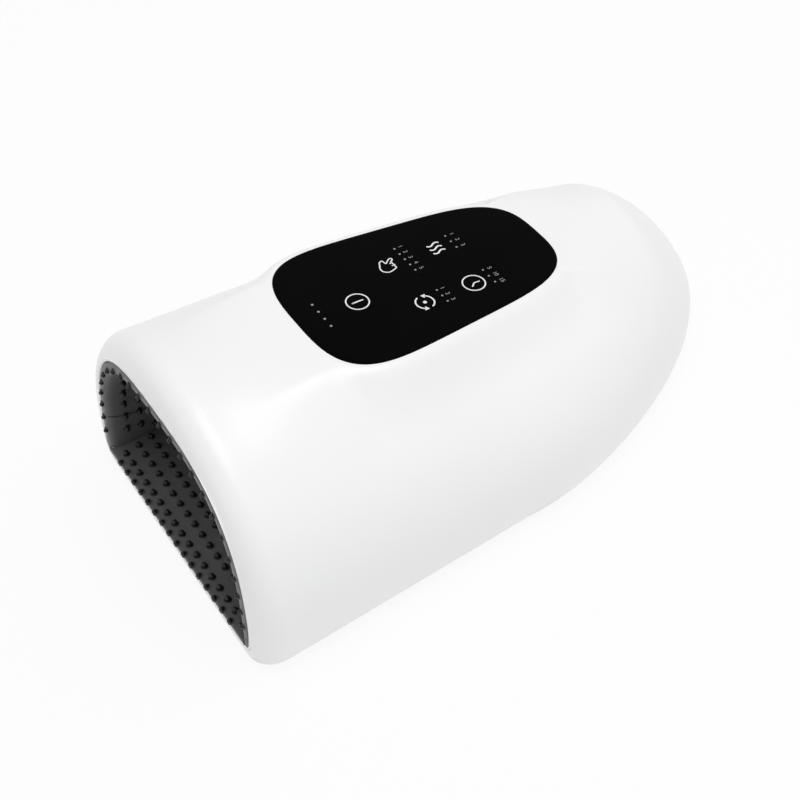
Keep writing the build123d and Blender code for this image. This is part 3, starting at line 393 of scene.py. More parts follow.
# camera: its place in metres and its turn in degrees
photoView = {"lens": 66.13, "sensor": 36, "near": 0.01, "far": 50,
             "place": (0.348307, -0.204869, 0.464583), "turn": (41.5053, 4.2812, 57.0278)}
cameraData = bpy.data.cameras.new("photoCamera")
cameraData.lens = photoView["lens"]
cameraData.sensor_width = photoView["sensor"]
cameraData.clip_start = photoView["near"]
cameraData.clip_end = photoView["far"]
camera = bpy.data.objects.new("photoCamera", cameraData)
camera.location = photoView["place"]
camera.rotation_euler = [radians(angle) for angle in photoView["turn"]]
bpy.context.scene.collection.objects.link(camera)
bpy.context.scene.camera = camera


# panel: its plane, its outline, and the distance from it, which is found by halving
panelSize = {
    "halfWidth": 32.1, "halfLength": 54.25, "place": 121.46, "height": 79.6, "slope": -0.136,
    "taper": -0.162, "sidePower": 3.16, "endPower": 4.59, "mostAlong": 1.3,
    "nearest": -28.0, "farthest": 60.0, "halvings": 26,
}


def panelSpot(u, v, h):
    p = panelSize
    stretch = sqrt(1 + p["slope"] ** 2)
    along = v / stretch
    rise = h / stretch
    return spot(u, p["place"] + along - p["slope"] * rise, p["height"] + p["slope"] * along + rise)


def panelOutline(grow, count):
    p = panelSize
    points = []
    for k in range(count):
        angle = 2 * pi * (k + 0.5) / count
        along = abs(sin(angle)) ** (2 / p["endPower"]) * (1 if sin(angle) > 0 else -1)
        over = abs(cos(angle)) ** (2 / p["sidePower"]) * (1 if cos(angle) > 0 else -1)
        wide = p["halfWidth"] * (1 + p["taper"] * along) + grow
        points.append((wide * over, (p["halfLength"] + grow) * along))
    return points


def outlineDistance(u, v):
    p = panelSize

    def beyond(grow):
        along = v / (p["halfLength"] + grow)
        taper = p["taper"] * max(-p["mostAlong"], min(p["mostAlong"], along))
        wide = p["halfWidth"] * (1 + taper) + grow
        return wide <= 0 or abs(along) ** p["endPower"] + abs(u / wide) ** p["sidePower"] > 1

    low, high = turningPoint(p["nearest"], p["farthest"], p["halvings"], beyond)
    return (low + high) / 2


# the deck: the skin rises onto the panel's plane, and eases back to the arch round it
deckSize = {
    "border": 0.9, "turn": 2.4, "fall": 1.35, "sideReach": 22.0, "endReach": 31.0, "mouthReach": 46.0,
    "sideShare": 0.8, "endShare": 0.9, "lowest": 25.0, "front": 16.0, "back": 236.0,
    "farOut": 99.0, "seat": 2.5, "least": 0.001,
}


# a point of the skin on the deck, with its distance from the panel's outline
def ontoDeck(point):
    p, d = panelSize, deckSize
    x, y, z = point.x * 1000, point.y * 1000 - mouthPlace, point.z * 1000 - shellSize["footHeight"]
    if z < d["lowest"] or y < d["front"] or y > d["back"]:
        return point, d["farOut"]
    v = (y - p["place"]) * sqrt(1 + p["slope"] ** 2)
    distance = outlineDistance(x, v)
    plane = p["height"] + p["slope"] * (y - p["place"])
    beside = max(0.0, abs(x) - p["halfWidth"] * d["sideShare"])
    beyond = max(0.0, abs(v) - p["halfLength"] * d["endShare"])
    share = smooth(beside / (beside + beyond + d["least"]))  # never 0 / 0
    past = max(0.0, distance - d["border"])
    deck = plane - share * d["fall"] * (sqrt(past * past + d["turn"] ** 2) - d["turn"])
    reach = d["mouthReach"] if v < 0 else d["endReach"]
    weight = 1 - smooth(past / (reach + (d["sideReach"] - reach) * share))
    level = z + (deck - z) * weight
    return Vector((point.x, point.y, (level + shellSize["footHeight"]) / 1000)), distance


# upper housing: arched skin with the deck, the rolled rim and the wall behind it
housing = {
    "cornerSteps": 5, "archSteps": 84, "floorSteps": 12, "rimSteps": 14, "bodySteps": 96, "noseSteps": 42,
    "noseTurn": 200.0, "wall": 2.3, "wallFade": 12.0, "innerFront": 9.5, "gap": 0.08, "parting": 4.0,
    "fin": 1.25, "rayCentre": 35.0, "rayReach": 1.6, "rayHalvings": 22,
}
mouthSize = {"halfWidth": 60.3, "floor": 9.87, "height": 69.6, "side": 2.95, "crown": 2.73, "corner": 0.9}
# the rim's inner turn into the mouth, as place, distance outside the mouth's arch and drop of its foot
mouthTurn = ((0.0, 1.1, 0.0), (0.04, 0.85, 0.0), (0.15, 0.6, 0.0), (0.35, 0.35, 0.0), (0.7, 0.18, 0.0),
             (1.0, 0.12, 0.0), (1.08, 0.3, -2.7), (8.0, 0.3, -2.7))
tunnelSize = {
    "collar": 8.0, "rampEnd": 45.0, "end": 190.0, "ceiling": 52.13, "fall": 1.5, "power": 4.0,
    "endPower": 2.8, "narrowing": 115.0, "wall": 5.2, "front": 1.14, "ramp": 8.2, "back": 186.9,
}


# the hand's way in, which falls and narrows behind the mouth
def cavityArch(y, grow):
    t, m = tunnelSize, mouthSize
    ease = smooth((y - t["collar"]) / (t["rampEnd"] - t["collar"]))
    fall = t["fall"] * max(0.0, (y - t["rampEnd"]) / (t["end"] - t["rampEnd"]))
    height = m["height"] + (t["ceiling"] - m["height"]) * ease - fall
    half = m["halfWidth"] * halfWidthAt(y) / (shellSize["width"] / 2)
    narrowing = smooth((y - t["narrowing"]) / (t["end"] - t["narrowing"]))
    power = t["power"] + (t["endPower"] - t["power"]) * narrowing
    side = m["side"] + (power - m["side"]) * ease
    crown = m["crown"] + (power - m["crown"]) * ease
    return (half + grow, m["floor"], m["floor"] + height + grow, side, crown, 0.0)


# an arch closed along its foot, as one ring of points
def closedLoop(arch, low, corner):
    h = housing
    line = wholeArch(arch, low, corner, h["cornerSteps"], h["archSteps"])
    left, right = line[-1][0], line[0][0]
    return line + [(left + (right - left) * k / h["floorSteps"], low) for k in range(1, h["floorSteps"])]


# places of the skin's rings, closer together on the rim and on the nose
def shellStations():
    s, h = shellSize, housing
    body, nose = h["noseTurn"] - s["rim"], s["noseEnd"] - h["noseTurn"]
    stations = [s["rim"] * (1 - cos(pi / 2 * k / h["rimSteps"])) for k in range(h["rimSteps"] + 1)]
    stations += [s["rim"] + body * k / h["bodySteps"] for k in range(1, h["bodySteps"])]
    stations += [h["noseTurn"] + nose * sin(pi / 2 * k / h["noseSteps"]) for k in range(h["noseSteps"] + 1)]
    return stations


def shellLoop(y):
    s = shellSize
    depth = max(0.0, 1 - y / s["rim"])
    roll = s["rim"] * (1 - sqrt(max(0.0, 1 - depth * depth)))
    lipDepth = max(0.0, 1 - y / s["lip"])
    raised = s["lip"] * (1 - sqrt(max(0.0, 1 - lipDepth * lipDepth)))
    half, roof = halfWidthAt(y) - roll, roofAt(y) - roll
    arch = (half, 0, roof, s["sidePower"], s["crownPower"], s["tuck"])
    return closedLoop(arch, raised, min(s["corner"], roof / 3, half / 3))


# the rim keeps outside the mouth: a point inside its arch moves out along its own ray
def outsideMouth(x, z):
    h = housing
    arch = cavityArch(0.0, h["fin"])
    centre = h["rayCentre"]

    def inside(scale):
        level = centre + (z - centre) * scale
        return level < arch[2] and abs(x * scale) < archHalf(level, arch)

    if z < centre or not inside(1.0):
        return x, z
    scale = turningPoint(1.0, h["rayReach"], h["rayHalvings"], inside)[1]
    return x * scale, centre + (z - centre) * scale


# rings of the outer skin, or of the inner one when taken in by the wall
def skinLoops(bm, stations, wall, distances):
    rings = []
    for y in stations:
        ring = []
        for x, z in shellLoop(y):
            if y < shellSize["rim"] and not wall:
                x, z = outsideMouth(x, z)
            point, distance = ontoDeck(sectionSpot(x, y, z))
            if wall:
                inward = max(0.0, 1 - wall / max(abs(x), 3 * wall))
                down = wall / 1000 * min(1.0, z / housing["wallFade"])
                point = Vector((point.x * inward, point.y, point.z - down))
            vert = bm.verts.new(point)
            distances[vert] = distance
            ring.append(vert)
        rings.append(ring)
    return rings


def makeHousing():
    s, h, m, d = shellSize, housing, mouthSize, deckSize
    bm = bmesh.new()
    distances = {}
    stations = list(reversed(shellStations()))
    rings = skinLoops(bm, stations, 0.0, distances)
    for y, grow, drop in mouthTurn:
        loop = closedLoop(cavityArch(y, grow), m["floor"] - grow + drop, m["corner"])
        rings.append(uprightRing(bm, y, loop))
    inner = [y for y in reversed(stations) if h["innerFront"] < y < s["noseEnd"] - h["wall"]]
    rings += skinLoops(bm, inner, h["wall"], distances)
    skinRings(bm, rings)
    bm.faces.new(rings[0])
    bm.faces.new(rings[-1])
    # the panel's seat is open, and its edge joins the two skins
    seat = [f for f in bm.faces if all(distances.get(v, d["farOut"]) < -d["seat"] for v in f.verts)]
    bmesh.ops.delete(bm, geom=seat, context="FACES")
    bmesh.ops.bridge_loops(bm, edges=[e for e in bm.edges if e.is_boundary])
    # all below the parting line is cut off, and the two skins are joined there too
    cutLevel = (h["parting"] + h["gap"] + s["footHeight"]) / 1000
    geometry = bm.verts[:] + bm.edges[:] + bm.faces[:]
    bmesh.ops.bisect_plane(bm, geom=geometry, plane_co=(0, 0, cutLevel), plane_no=(0, 0, 1), clear_inner=True)
    bmesh.ops.bridge_loops(bm, edges=[e for e in bm.edges if e.is_boundary])
    print("open edges left:", sum(e.is_boundary for e in bm.edges))
    evenFaces(bm)
    return newPiece("shellSkin", bm, [made["whiteShell"]])


# the charging port's slot in the far side, and the tool that cuts it
portSize = {"place": 160.0, "level": 14.0, "width": 9.14, "height": 4.6, "outer": -80.0, "inner": -56.0,
            "turnSteps": 12}


def makeSlotTool():
    q = portSize
    bm = bmesh.new()
    radius = q["height"] / 2
    points = []
    for side in (1, -1):
        points += arcPoints(side * (q["width"] / 2 - radius), 0.0, radius, -side * pi / 2, pi, q["turnSteps"])
    rings = []
    for x in (q["outer"], q["inner"]):
        rings.append(ringOf(bm, [spot(x, q["place"] + a, q["level"] + b) for a, b in points]))
    fillBody(bm, rings)
    return newPiece("slotTool", bm, [made["whiteShell"]])


shellSkin = makeHousing()
cutWith(shellSkin, makeSlotTool())
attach(shellSkin, "casing")
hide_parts("upper_housing")
print("housing made:", len(shellSkin.data.polygons), "faces")


# studs: pairs of radius and height up to the tip, and the grid that they stand in
studSize = {
    "profile": ((1.8, -0.1), (1.45, 0.06), (1.24, 0.28), (1.18, 0.7), (1.14, 1.15), (1.04, 1.6),
                (0.77, 1.9), (0.38, 2.02)),
    "tip": 2.05, "turns": 14, "pitch": 6.21, "firstRow": 4.57, "firstColumn": -24.47, "rowShift": -0.16,
    "margin": 3.0,
}


def addStud(bm, centre, normal, size=1.0):
    side = normal.orthogonal().normalized()
    other = normal.cross(side)
    rings = []
    for radius, height in studSize["profile"]:
        ring = []
        for k in range(studSize["turns"]):
            angle = 2 * pi * k / studSize["turns"]
            around = side * cos(angle) * radius * size + other * sin(angle) * radius * size
            ring.append(bm.verts.new(centre + (around + normal * height * size) / 1000))
        rings.append(ring)
    skinRings(bm, rings, material=1)
    tip = bm.verts.new(centre + normal * studSize["tip"] * size / 1000)
    last = rings[-1]
    for k, vert in enumerate(last):
        bm.faces.new((vert, last[(k + 1) % len(last)], tip)).material_index = 1


def studGrid(front, back, halfAt):
    g = studSize
    places, row, y = [], 0, g["firstRow"]
    while y < back - g["margin"]:
        shift = g["firstColumn"] + g["rowShift"] * g["pitch"] * row
        room = halfAt(y) - g["margin"]
        if y > front + g["margin"]:
            for k in range(ceil((-room - shift) / g["pitch"]), floor((room - shift) / g["pitch"]) + 1):
                places.append((shift + g["pitch"] * k, y))
        row += 1
        y = g["firstRow"] + g["pitch"] * row
    return places


# lining: rolled lip, walls, ceiling with the pad's window, end wall, studs on walls and ceiling
liningSize = {
    "archSteps": 70, "cornerSteps": 3, "lengthSteps": 58, "endRound": 6.0, "endSteps": 6,
    "endShares": (0.75, 0.5, 0.25, 0.02), "low": 7.6, "back": 2.5, "pitch": 7.5, "firstRow": 7.5,
    "rows": 28, "footRoom": 7.0, "floorRoom": 3.2, "studAngle": 50,
}
windowSize = {"half": 29.5, "front": 50.5, "back": 155.5, "corner": 10.5, "low": 46.0, "high": 74.0,
              "cornerSteps": 8, "studRoom": 2.4, "studsFrom": 40.0}
# the lining's rolled lip as pairs of place and depth below the mouth's arch
lipProfile = ((1.14, 0.0), (0.7, 0.12), (0.3, 0.5), (0.12, 1.2), (0.08, 2.0), (0.12, 2.8), (0.35, 3.6),
              (0.9, 4.3), (1.9, 4.8), (3.6, 5.1), (6.3, 5.2), (9.34, 5.2))


# place and depth at one share of the lip's roll
def lipSpot(share):
    steps = len(lipProfile) - 1
    k = min(steps - 1, int(share * steps))
    part = share * steps - k
    (ya, da), (yb, db) = lipProfile[k], lipProfile[k + 1]
    return ya + (yb - ya) * part, da + (db - da) * part


def liningLine(y, depth):
    g = liningSize
    return wholeArch(cavityArch(y, -depth), g["low"], mouthSize["corner"], g["cornerSteps"], g["archSteps"])


# the way along a line to each of its points
def runLengths(line):
    lengths = [0.0]
    for (xa, za), (xb, zb) in zip(line, line[1:]):
        lengths.append(lengths[-1] + sqrt((xb - xa) ** 2 + (zb - za) ** 2))
    return lengths


# points at even distances along an arch, with the inward direction at each
def walkArch(line, step, start):
    lengths = runLengths(line)
    found, k, distance = [], 0, start
    while distance < lengths[-1]:
        while lengths[k + 1] < distance:
            k += 1
        run = lengths[k + 1] - lengths[k]
        share = (distance - lengths[k]) / run
        (xa, za), (xb, zb) = line[k], line[k + 1]
        found.append((xa + (xb - xa) * share, za + (zb - za) * share, (za - zb) / run, (xb - xa) / run))
        distance += step
    return found


def makeWindowTool():
    w = windowSize
    bm = bmesh.new()
    outline = roundedLoop(w["half"], w["front"], w["back"], w["corner"], w["cornerSteps"])
    fillBody(bm, [flatRing(bm, outline, z) for z in (w["low"], w["high"])])
    return newPiece("windowTool", bm, [made["darkSilicone"]])


def addLiningStuds(bm):
    g, w = liningSize, windowSize
    for row in range(g["rows"]):
        y = g["firstRow"] + studSize["pitch"] * row
        besideWindow = w["front"] - w["studRoom"] < y < w["back"] + w["studRoom"]
        for x, z, nx, nz in walkArch(liningLine(y, tunnelSize["wall"]), g["pitch"], g["footRoom"]):
            inWindow = besideWindow and abs(x) < w["half"] + w["studRoom"] and z > w["studsFrom"]
            if z > mouthSize["floor"] + g["floorRoom"] and not inWindow:
                addStud(bm, sectionSpot(x, y, z), Vector((nx, 0, nz)).normalized())


def makeLining():
    g, t = liningSize, tunnelSize
    bm = bmesh.new()
    rings = [uprightRing(bm, y, liningLine(y, depth)) for y, depth in lipProfile]
    start, end = t["front"] + t["ramp"], t["back"] - g["endRound"]
    for k in range(1, g["lengthSteps"] + 1):
        y = start + (end - start) * k / g["lengthSteps"]
        rings.append(uprightRing(bm, y, liningLine(y, t["wall"])))
    for k in range(1, g["endSteps"] + 1):  # rounded turn into the end wall
        angle = pi / 2 * k / g["endSteps"]
        y, depth = end + g["endRound"] * sin(angle), t["wall"] + g["endRound"] * (1 - cos(angle))
        rings.append(uprightRing(bm, y, liningLine(y, depth)))
    last = liningLine(t["back"], t["wall"] + g["endRound"])
    for share in g["endShares"]:
        line = [(x * share, g["low"] + (z - g["low"]) * share) for x, z in last]
        rings.append(uprightRing(bm, t["back"], line))
    skinRings(bm, rings, closed=False)
    evenFaces(bm)
    crown = rings[len(rings) // 2][len(last) // 2]
    faceToward(bm, crown.link_faces[0], (0, 0, -1))
    piece = newPiece("gripLining", bm, [made["darkSilicone"], made["studSilicone"]])
    wall = piece.modifiers.new("wall", "SOLIDIFY")
    wall.thickness = g["back"] / 1000
    wall.offset = -1
    bakePiece(piece)
    cutWith(piece, makeWindowTool())
    bm = bmesh.new()
    bm.from_mesh(piece.data)
    addLiningStuds(bm)
    shadeSmooth(bm, g["studAngle"])
    bm.to_mesh(piece.data)
    bm.free()
    return piece


gripLining = makeLining()
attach(gripLining, "casing")
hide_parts("upper_liner")
print("lining made:", len(gripLining.data.polygons), "faces")


# lip band: the front of the lining, scalloped along its inner edge, with its own studs; its paler silicone is
# a painted highlight, the dark lining coloured as if lit where the lip faces the lamps
bandSize = {
    "columns": 420, "crossSteps": 14, "first": 0.1, "inner": 0.6, "scallop": 0.12, "wavePower": 0.7,
    "rise": 0.12, "sink": 0.05, "forward": 0.2, "easeIn": 6, "easeOut": 7,
    "studPlace": 0.42, "studSize": 0.8, "studTurn": 0.5, "pitch": 8.1, "floorRoom": 3.0,
}


# how deep the lining's face lies under the arch at one place behind its lip
def liningDepth(y):
    for (ya, first), (yb, second) in zip(lipProfile, lipProfile[1:]):
        if ya <= y < yb:
            return first + (second - first) * (y - ya) / (yb - ya)
    return tunnelSize["wall"]


# points spread evenly along the lip at one share of its roll
def lipLine(share, rise):
    y, depth = lipSpot(share)
    line = liningLine(y, depth + rise)
    step = runLengths(line)[-1] / bandSize["columns"]
    return y, walkArch(line, step, step / 2)


# the band stands out between its two edges and dips into the lining at both
def bandLift(share):
    return min(1.0, bandSize["easeIn"] * share, bandSize["easeOut"] * (1 - share))


def makeLipBand():
    b = bandSize
    bm = bmesh.new()
    scallops = round(runLengths(liningLine(*lipSpot(b["studPlace"])))[-1] / b["pitch"])
    rows = []
    for q in range(b["crossSteps"] + 1):
        share = q / b["crossSteps"]
        roll = b["first"] + (b["inner"] - b["first"]) * share
        y, found = lipLine(roll, b["rise"] * bandLift(share) - b["sink"])
        rows.append([sectionSpot(x, y, z) for x, z, _, _ in found])
    strips = []
    for k in range(b["columns"]):
        wave = abs(sin(pi * scallops * (k + 0.5) / b["columns"])) ** b["wavePower"]
        narrow = 1 - b["scallop"] * (1 - wave)
        strip = []
        for q in range(b["crossSteps"] + 1):
            low = min(b["crossSteps"] - 1, int(q * narrow))
            point = rows[low][k].lerp(rows[low + 1][k], q * narrow - low)
            forward = b["forward"] / 1000 * bandLift(q / b["crossSteps"])
            strip.append(bm.verts.new(point - Vector((0, forward, 0))))
        strips.append(strip)
    skinRings(bm, strips, closed=False)
    evenFaces(bm)
    middle = strips[b["columns"] // 2][b["crossSteps"] // 2]
    faceToward(bm, middle.link_faces[0], (0, -1, 0))
    y, found = lipLine(b["studPlace"], b["rise"])
    turned, straight = sin(b["studTurn"]), cos(b["studTurn"])
    for n in range(scallops):
        x, z, nx, nz = found[int((n + 0.5) * b["columns"] / scallops)]
        if z > mouthSize["floor"] + b["floorRoom"]:
            normal = Vector((nx * turned, -straight, nz * turned)).normalized()
            addStud(bm, sectionSpot(x, y, z), normal, b["studSize"])
    return newPiece("lipBand", bm, [made["lipHighlightSilicone"], made["studSilicone"]], sharpAngle=60)


lipBand = makeLipBand()
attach(lipBand, "casing")
print("lip band made")


# the dark strip along both walls, where the upper lining meets the lower: a real seam, its near-black colour
# a painted shadow standing in for the seam's crease
seamShadowSize = {
    "width": 0.8, "proud": 0.12, "steps": 8,
    "line": ((0.9, 28.2), (5.0, 26.6), (9.7, 25.0), (16.0, 23.2), (26.0, 21.5), (40.0, 20.0), (60.0, 19.5)),
    "profile": ((0.5, -0.3), (0.36, 1.0), (-0.36, 1.0), (-0.5, -0.3)),
}


def makeSeamShadow():
    q = seamShadowSize
    bm = bmesh.new()
    for side in (1, -1):
        edges = [[] for _ in q["profile"]]
        for (ya, za), (yb, zb) in zip(q["line"], q["line"][1:]):
            for k in range(q["steps"]):
                y, z = ya + (yb - ya) * k / q["steps"], za + (zb - za) * k / q["steps"]
                arch = cavityArch(y, -liningDepth(y))
                for edge, (up, proud) in zip(edges, q["profile"]):
                    level = z + up * q["width"]
                    x = archHalf(level, arch) - q["proud"] * proud
                    edge.append(bm.verts.new(sectionSpot(side * x, y, level)))
        skinRings(bm, edges, closed=False)
    evenFaces(bm)
    outward = [f for f in bm.faces if f.normal.x * f.calc_center_median().x > 0]
    bmesh.ops.reverse_faces(bm, faces=outward)
    return newPiece("wallSeamShadow", bm, [made["seamShadow"]])


wallSeamShadow = makeSeamShadow()
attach(wallSeamShadow, "casing")
print("wall seam made")


# floor mat with its studs; its edge is pairs of inset and drop
matSize = {
    "front": 0.4, "back": 186.6, "low": 7.58, "top": 9.87, "steps": 60, "sideGap": 0.3,
    "edge": ((0.0, 0.75), (0.1, 0.35), (0.34, 0.1), (0.75, 0.0)), "frontReach": 8.0, "frontGrow": 0.85,
    "edgeRow": 0.9, "edgeStud": 0.8, "edgeLean": -0.6,
}


def matHalf(y):
    front = 1 - smooth(y / matSize["frontReach"])
    return cavityArch(y, -liningDepth(y))[0] - matSize["sideGap"] + matSize["frontGrow"] * front


def makeFloorMat():
    m = matSize
    bm = bmesh.new()
    rings = []
    for inset, z in ((0.0, m["low"]), *((inset, m["top"] - drop) for inset, drop in m["edge"])):
        length = m["back"] - m["front"] - 2 * inset
        ys = [m["front"] + inset + length * k / m["steps"] for k in range(m["steps"] + 1)]
        right = [(matHalf(y) - inset, y) for y in ys]
        rings.append(flatRing(bm, right + [(-x, y) for x, y in reversed(right)], z))
    skinRings(bm, rings)
    bm.faces.new(rings[0])
    last, count = rings[-1], m["steps"]
    for k in range(count):
        bm.faces.new((last[k], last[k + 1], last[2 * count - k], last[2 * count + 1 - k]))
    evenFaces(bm)
    for x, y in studGrid(m["front"], m["back"], matHalf):
        addStud(bm, spot(x, y, m["top"]), Vector((0, 0, 1)))
    pitch = studSize["pitch"]
    reach = int((matHalf(m["edgeRow"]) - studSize["margin"]) / pitch)
    lean = Vector((0, m["edgeLean"], 1)).normalized()
    for k in range(-reach, reach):  # the smaller studs along the front edge
        addStud(bm, spot((k + 0.5) * pitch, m["edgeRow"], m["top"]), lean, m["edgeStud"])
    return newPiece("studdedMat", bm, [made["darkSilicone"], made["studSilicone"]], sharpAngle=50)


studdedMat = makeFloorMat()
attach(studdedMat, "casing")
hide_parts("floor_mat")
print("floor mat made")


# pressure pad, and the air cushion above it as pairs of inset and share of its half height
padSize = {
    "half": 28.0, "front": 52.0, "back": 154.0, "corner": 9.0, "cornerSteps": 10,
    "low": 50.4, "top": 53.6, "edge": 1.1, "edgeSteps": 5, "bagLow": 56.0, "bagTop": 59.2,
    "bagProfile": ((6.0, -1.0), (3.4, -0.94), (2.3, -0.7), (1.8, -0.12), (0.1, -0.1),
                   (0.1, 0.1), (1.8, 0.12), (2.3, 0.7), (3.4, 0.94), (6.0, 1.0)),
}


def padLoop(inset):
    p = padSize
    corner = p["corner"] - min(inset, p["corner"] - 1)
    return roundedLoop(p["half"] - inset, p["front"] + inset, p["back"] - inset, corner, p["cornerSteps"])


def makePad():
    p = padSize
    bm = bmesh.new()
    rings = []
    for k in range(p["edgeSteps"] + 1):
        angle = pi / 2 * k / p["edgeSteps"]
        inset, z = p["edge"] * (1 - sin(angle)), p["low"] + p["edge"] * (1 - cos(angle))
        rings.append(flatRing(bm, padLoop(inset), z))
    rings.append(flatRing(bm, padLoop(0.0), p["top"]))
    fillBody(bm, rings)
    for x, y in studGrid(p["front"], p["back"], lambda y: p["half"]):
        addStud(bm, spot(x, y, p["low"]), Vector((0, 0, -1)))
    return newPiece("studdedPad", bm, [made["darkSilicone"], made["studSilicone"]], sharpAngle=50)


# two films welded round the edge: a flat pillow with a thin seam
def makeAirCushion():
    p = padSize
    bm = bmesh.new()
    middle, rise = (p["bagLow"] + p["bagTop"]) / 2, (p["bagTop"] - p["bagLow"]) / 2
    fillBody(bm, [flatRing(bm, padLoop(inset), middle + share * rise) for inset, share in p["bagProfile"]])
    return newPiece("airCushion", bm, [made["bagFilm"]], sharpAngle=70)


studdedPad = makePad()
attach(studdedPad, "pad")
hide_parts("massage_pad")
airCushion = makeAirCushion()
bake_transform(airCushion)
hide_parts("airbag")
print("pad and air cushion made")


# the release valve's return spring, which shortens as the plunger slides down; the coil here is built at one
# fixed length
springSize = {"turns": 4, "wire": 0.22, "steps": 160, "sides": 8, "keep": 0.42}


# the coil stands in the box of its CAD solid
def makeSpring():
    q = springSize
    points = [v.co for v in nodes["valve_spring"].data.vertices]
    low, high = (Vector(edge(p[k] for p in points) for k in range(3)) for edge in (min, max))
    centre = (low + high) / 2
    wire = q["wire"] / 1000
    radius = (high.x - low.x) / 2 - wire
    rise = high.z - low.z - 2 * wire
    turn = [2 * pi * n / q["sides"] for n in range(q["sides"])]
    bm = bmesh.new()
    rings = []
    for k in range(q["steps"] + 1):
        share = k / q["steps"]
        angle = 2 * pi * q["turns"] * share
        out = Vector((cos(angle), sin(angle), 0))
        middle = Vector((centre.x, centre.y, low.z + wire + rise * share)) + out * radius
        rings.append(ringOf(bm, [middle + out * wire * cos(a) + Vector((0, 0, wire * sin(a))) for a in turn]))
    fillBody(bm, rings)
    return newPiece("returnSpring", bm, [made["screwSteel"]], sharpAngle=60), (centre.x, centre.y, low.z)


returnSpring, springFoot = makeSpring()
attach(returnSpring, "casing")
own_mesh(returnSpring)
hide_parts("valve_spring")
print("return spring made")


# touch panel's glass: its edge is pairs of growth and height, its top narrows by shares
glassSize = {
    "stand": 0.3, "thickness": 1.6, "outlineSteps": 200, "topShares": (0.97, 0.85, 0.65, 0.4, 0.15, 0.01),
    "edge": ((0.0, -0.25), (-0.03, -0.02), (-0.12, 0.14), (-0.28, 0.25), (-0.5, 0.3)),
}


def makeTouchGlass():
    g = glassSize
    bm = bmesh.new()
    rings = []
    for grow, height in ((0.0, g["stand"] - g["thickness"]), *g["edge"]):
        outline = panelOutline(grow, g["outlineSteps"])
        rings.append(ringOf(bm, [panelSpot(u, v, height) for u, v in outline]))
    for share in g["topShares"]:
        rings.append(ringOf(bm, [panelSpot(u * share, v * share, g["stand"]) for u, v in outline]))
    skinRings(bm, rings)
    bm.faces.new(rings[0])
    evenFaces(bm)
    return newPiece("touchGlass", bm, [made["glossBlack"]])


touchGlass = makeTouchGlass()
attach(touchGlass, "casing")
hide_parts("touch_panel")


# print on the panel: icons as strokes, indicator dots and plain numerals
printSize = {
    "height": 0.04, "stroke": 0.56, "numeral": 2.5, "ring": 4.35,
    "power": (0.95, -28.9), "bar": 2.2, "barStroke": 1.15, "barEnd": 0.57, "time": (13.75, 14.45),
    "hands": ((1.65, -1.7), (0.45, -0.45), (0.05, 0.15), (0.05, 0.95), (0.2, 2.55)),
    "heat": (-13.25, -10.82, -8.4), "heatFoot": 11.0, "heatLength": 5.6, "heatWave": 0.62,
    "heatStroke": 1.25,
    "mode": (13.75, -7.55), "modeArc": 3.55, "modeStart": 0.35, "modeSweep": 2.3, "modeDot": 0.75,
    "modeStroke": 1.1, "headHalf": 1.15, "headBack": 0.2, "headLength": 1.5,
    "strength": (-12.8, -7.37), "handStroke": 0.95, "fingerStroke": 0.7,
}
# the hand's outline, round its icon's place
handLine = ((-1.6, -2.0), (-1.1, -2.7), (0.2, -3.3), (1.7, -4.1), (3.5, -4.2), (4.8, -3.2), (5.3, -1.6),
            (4.5, 1.2), (3.9, 1.75), (3.1, 1.6), (2.4, 1.95), (1.6, 1.55), (0.9, 1.75), (0.4, 1.5),
            (-0.4, 2.65), (-1.25, 2.75), (-1.45, 1.95), (-0.6, 0.6), (0.35, -0.6), (-0.8, -0.9), (-1.7, -1.2))
fingerLines = (((2.4, 1.95), (2.65, 0.65)), ((0.9, 1.75), (1.15, 0.45)))
# rows of indicator dots: first place, step, level, number and radius
dotRows = ((-5.87, 4.49, -44.2, 4, 0.5), (-18.35, 3.65, -0.3, 5, 0.44), (10.2, 3.6, 0.1, 3, 0.42),
           (-15.25, 3.95, 21.1, 3, 0.42), (9.2, 4.0, 21.8, 3, 0.42))
# rows of numerals: level, and the place of each
numeralRows = ((2.3, {"1": -18.5, "2": -14.8, "3": -11.1, "4": -7.4, "5": -3.7}),
               (2.5, {"1": 10.2, "2": 13.8, "3": 17.4}),
               (24.0, {"1": -15.1, "2": -11.2, "3": -7.3}),
               (24.7, {"5": 9.4, "10": 13.4, "15": 17.6}))


def printSpot(u, v):
    return panelSpot(u, v, glassSize["stand"] + printSize["height"])


def movedTo(place, points):
    return [(place[0] + a, place[1] + b) for a, b in points]


def addStroke(bm, points, width, closed=False):
    count = len(points)
    sides = ([], [])
    for k, (u, v) in enumerate(points):
        before = points[k - 1] if closed or k else points[k]
        after = points[(k + 1) % count] if closed or k < count - 1 else points[k]
        run = Vector((after[0] - before[0], after[1] - before[1])).normalized()
        normal = Vector((-run.y, run.x)) * width / 2
        sides[0].append(bm.verts.new(printSpot(u + normal.x, v + normal.y)))
        sides[1].append(bm.verts.new(printSpot(u - normal.x, v - normal.y)))
    skinRings(bm, (sides[1], sides[0]), closed)


def addDisc(bm, u, v, radius, material=0, count=16):
    ring = ringOf(bm, [printSpot(a, b) for a, b in arcPoints(u, v, radius, 0, 2 * pi, count)[:-1]])
    bm.faces.new(ring).material_index = material


def addRing(bm, place):
    ring = arcPoints(*place, printSize["ring"], 0, 2 * pi)[:-1]
    addStroke(bm, ring, printSize["stroke"], True)


def roundLine(points, steps=6):  # a smooth line through a few corners
    out = []
    count = len(points)
    for k in range(count):
        p0, p1, p2, p3 = (Vector(points[(k + j - 1) % count]) for j in range(4))
        for n in range(steps):
            t = n / steps
            bend = (2 * p0 - 5 * p1 + 4 * p2 - p3) * t * t + (3 * p1 - p0 - 3 * p2 + p3) * t ** 3
            out.append(tuple(0.5 * (2 * p1 + (p2 - p0) * t + bend)))
    return out


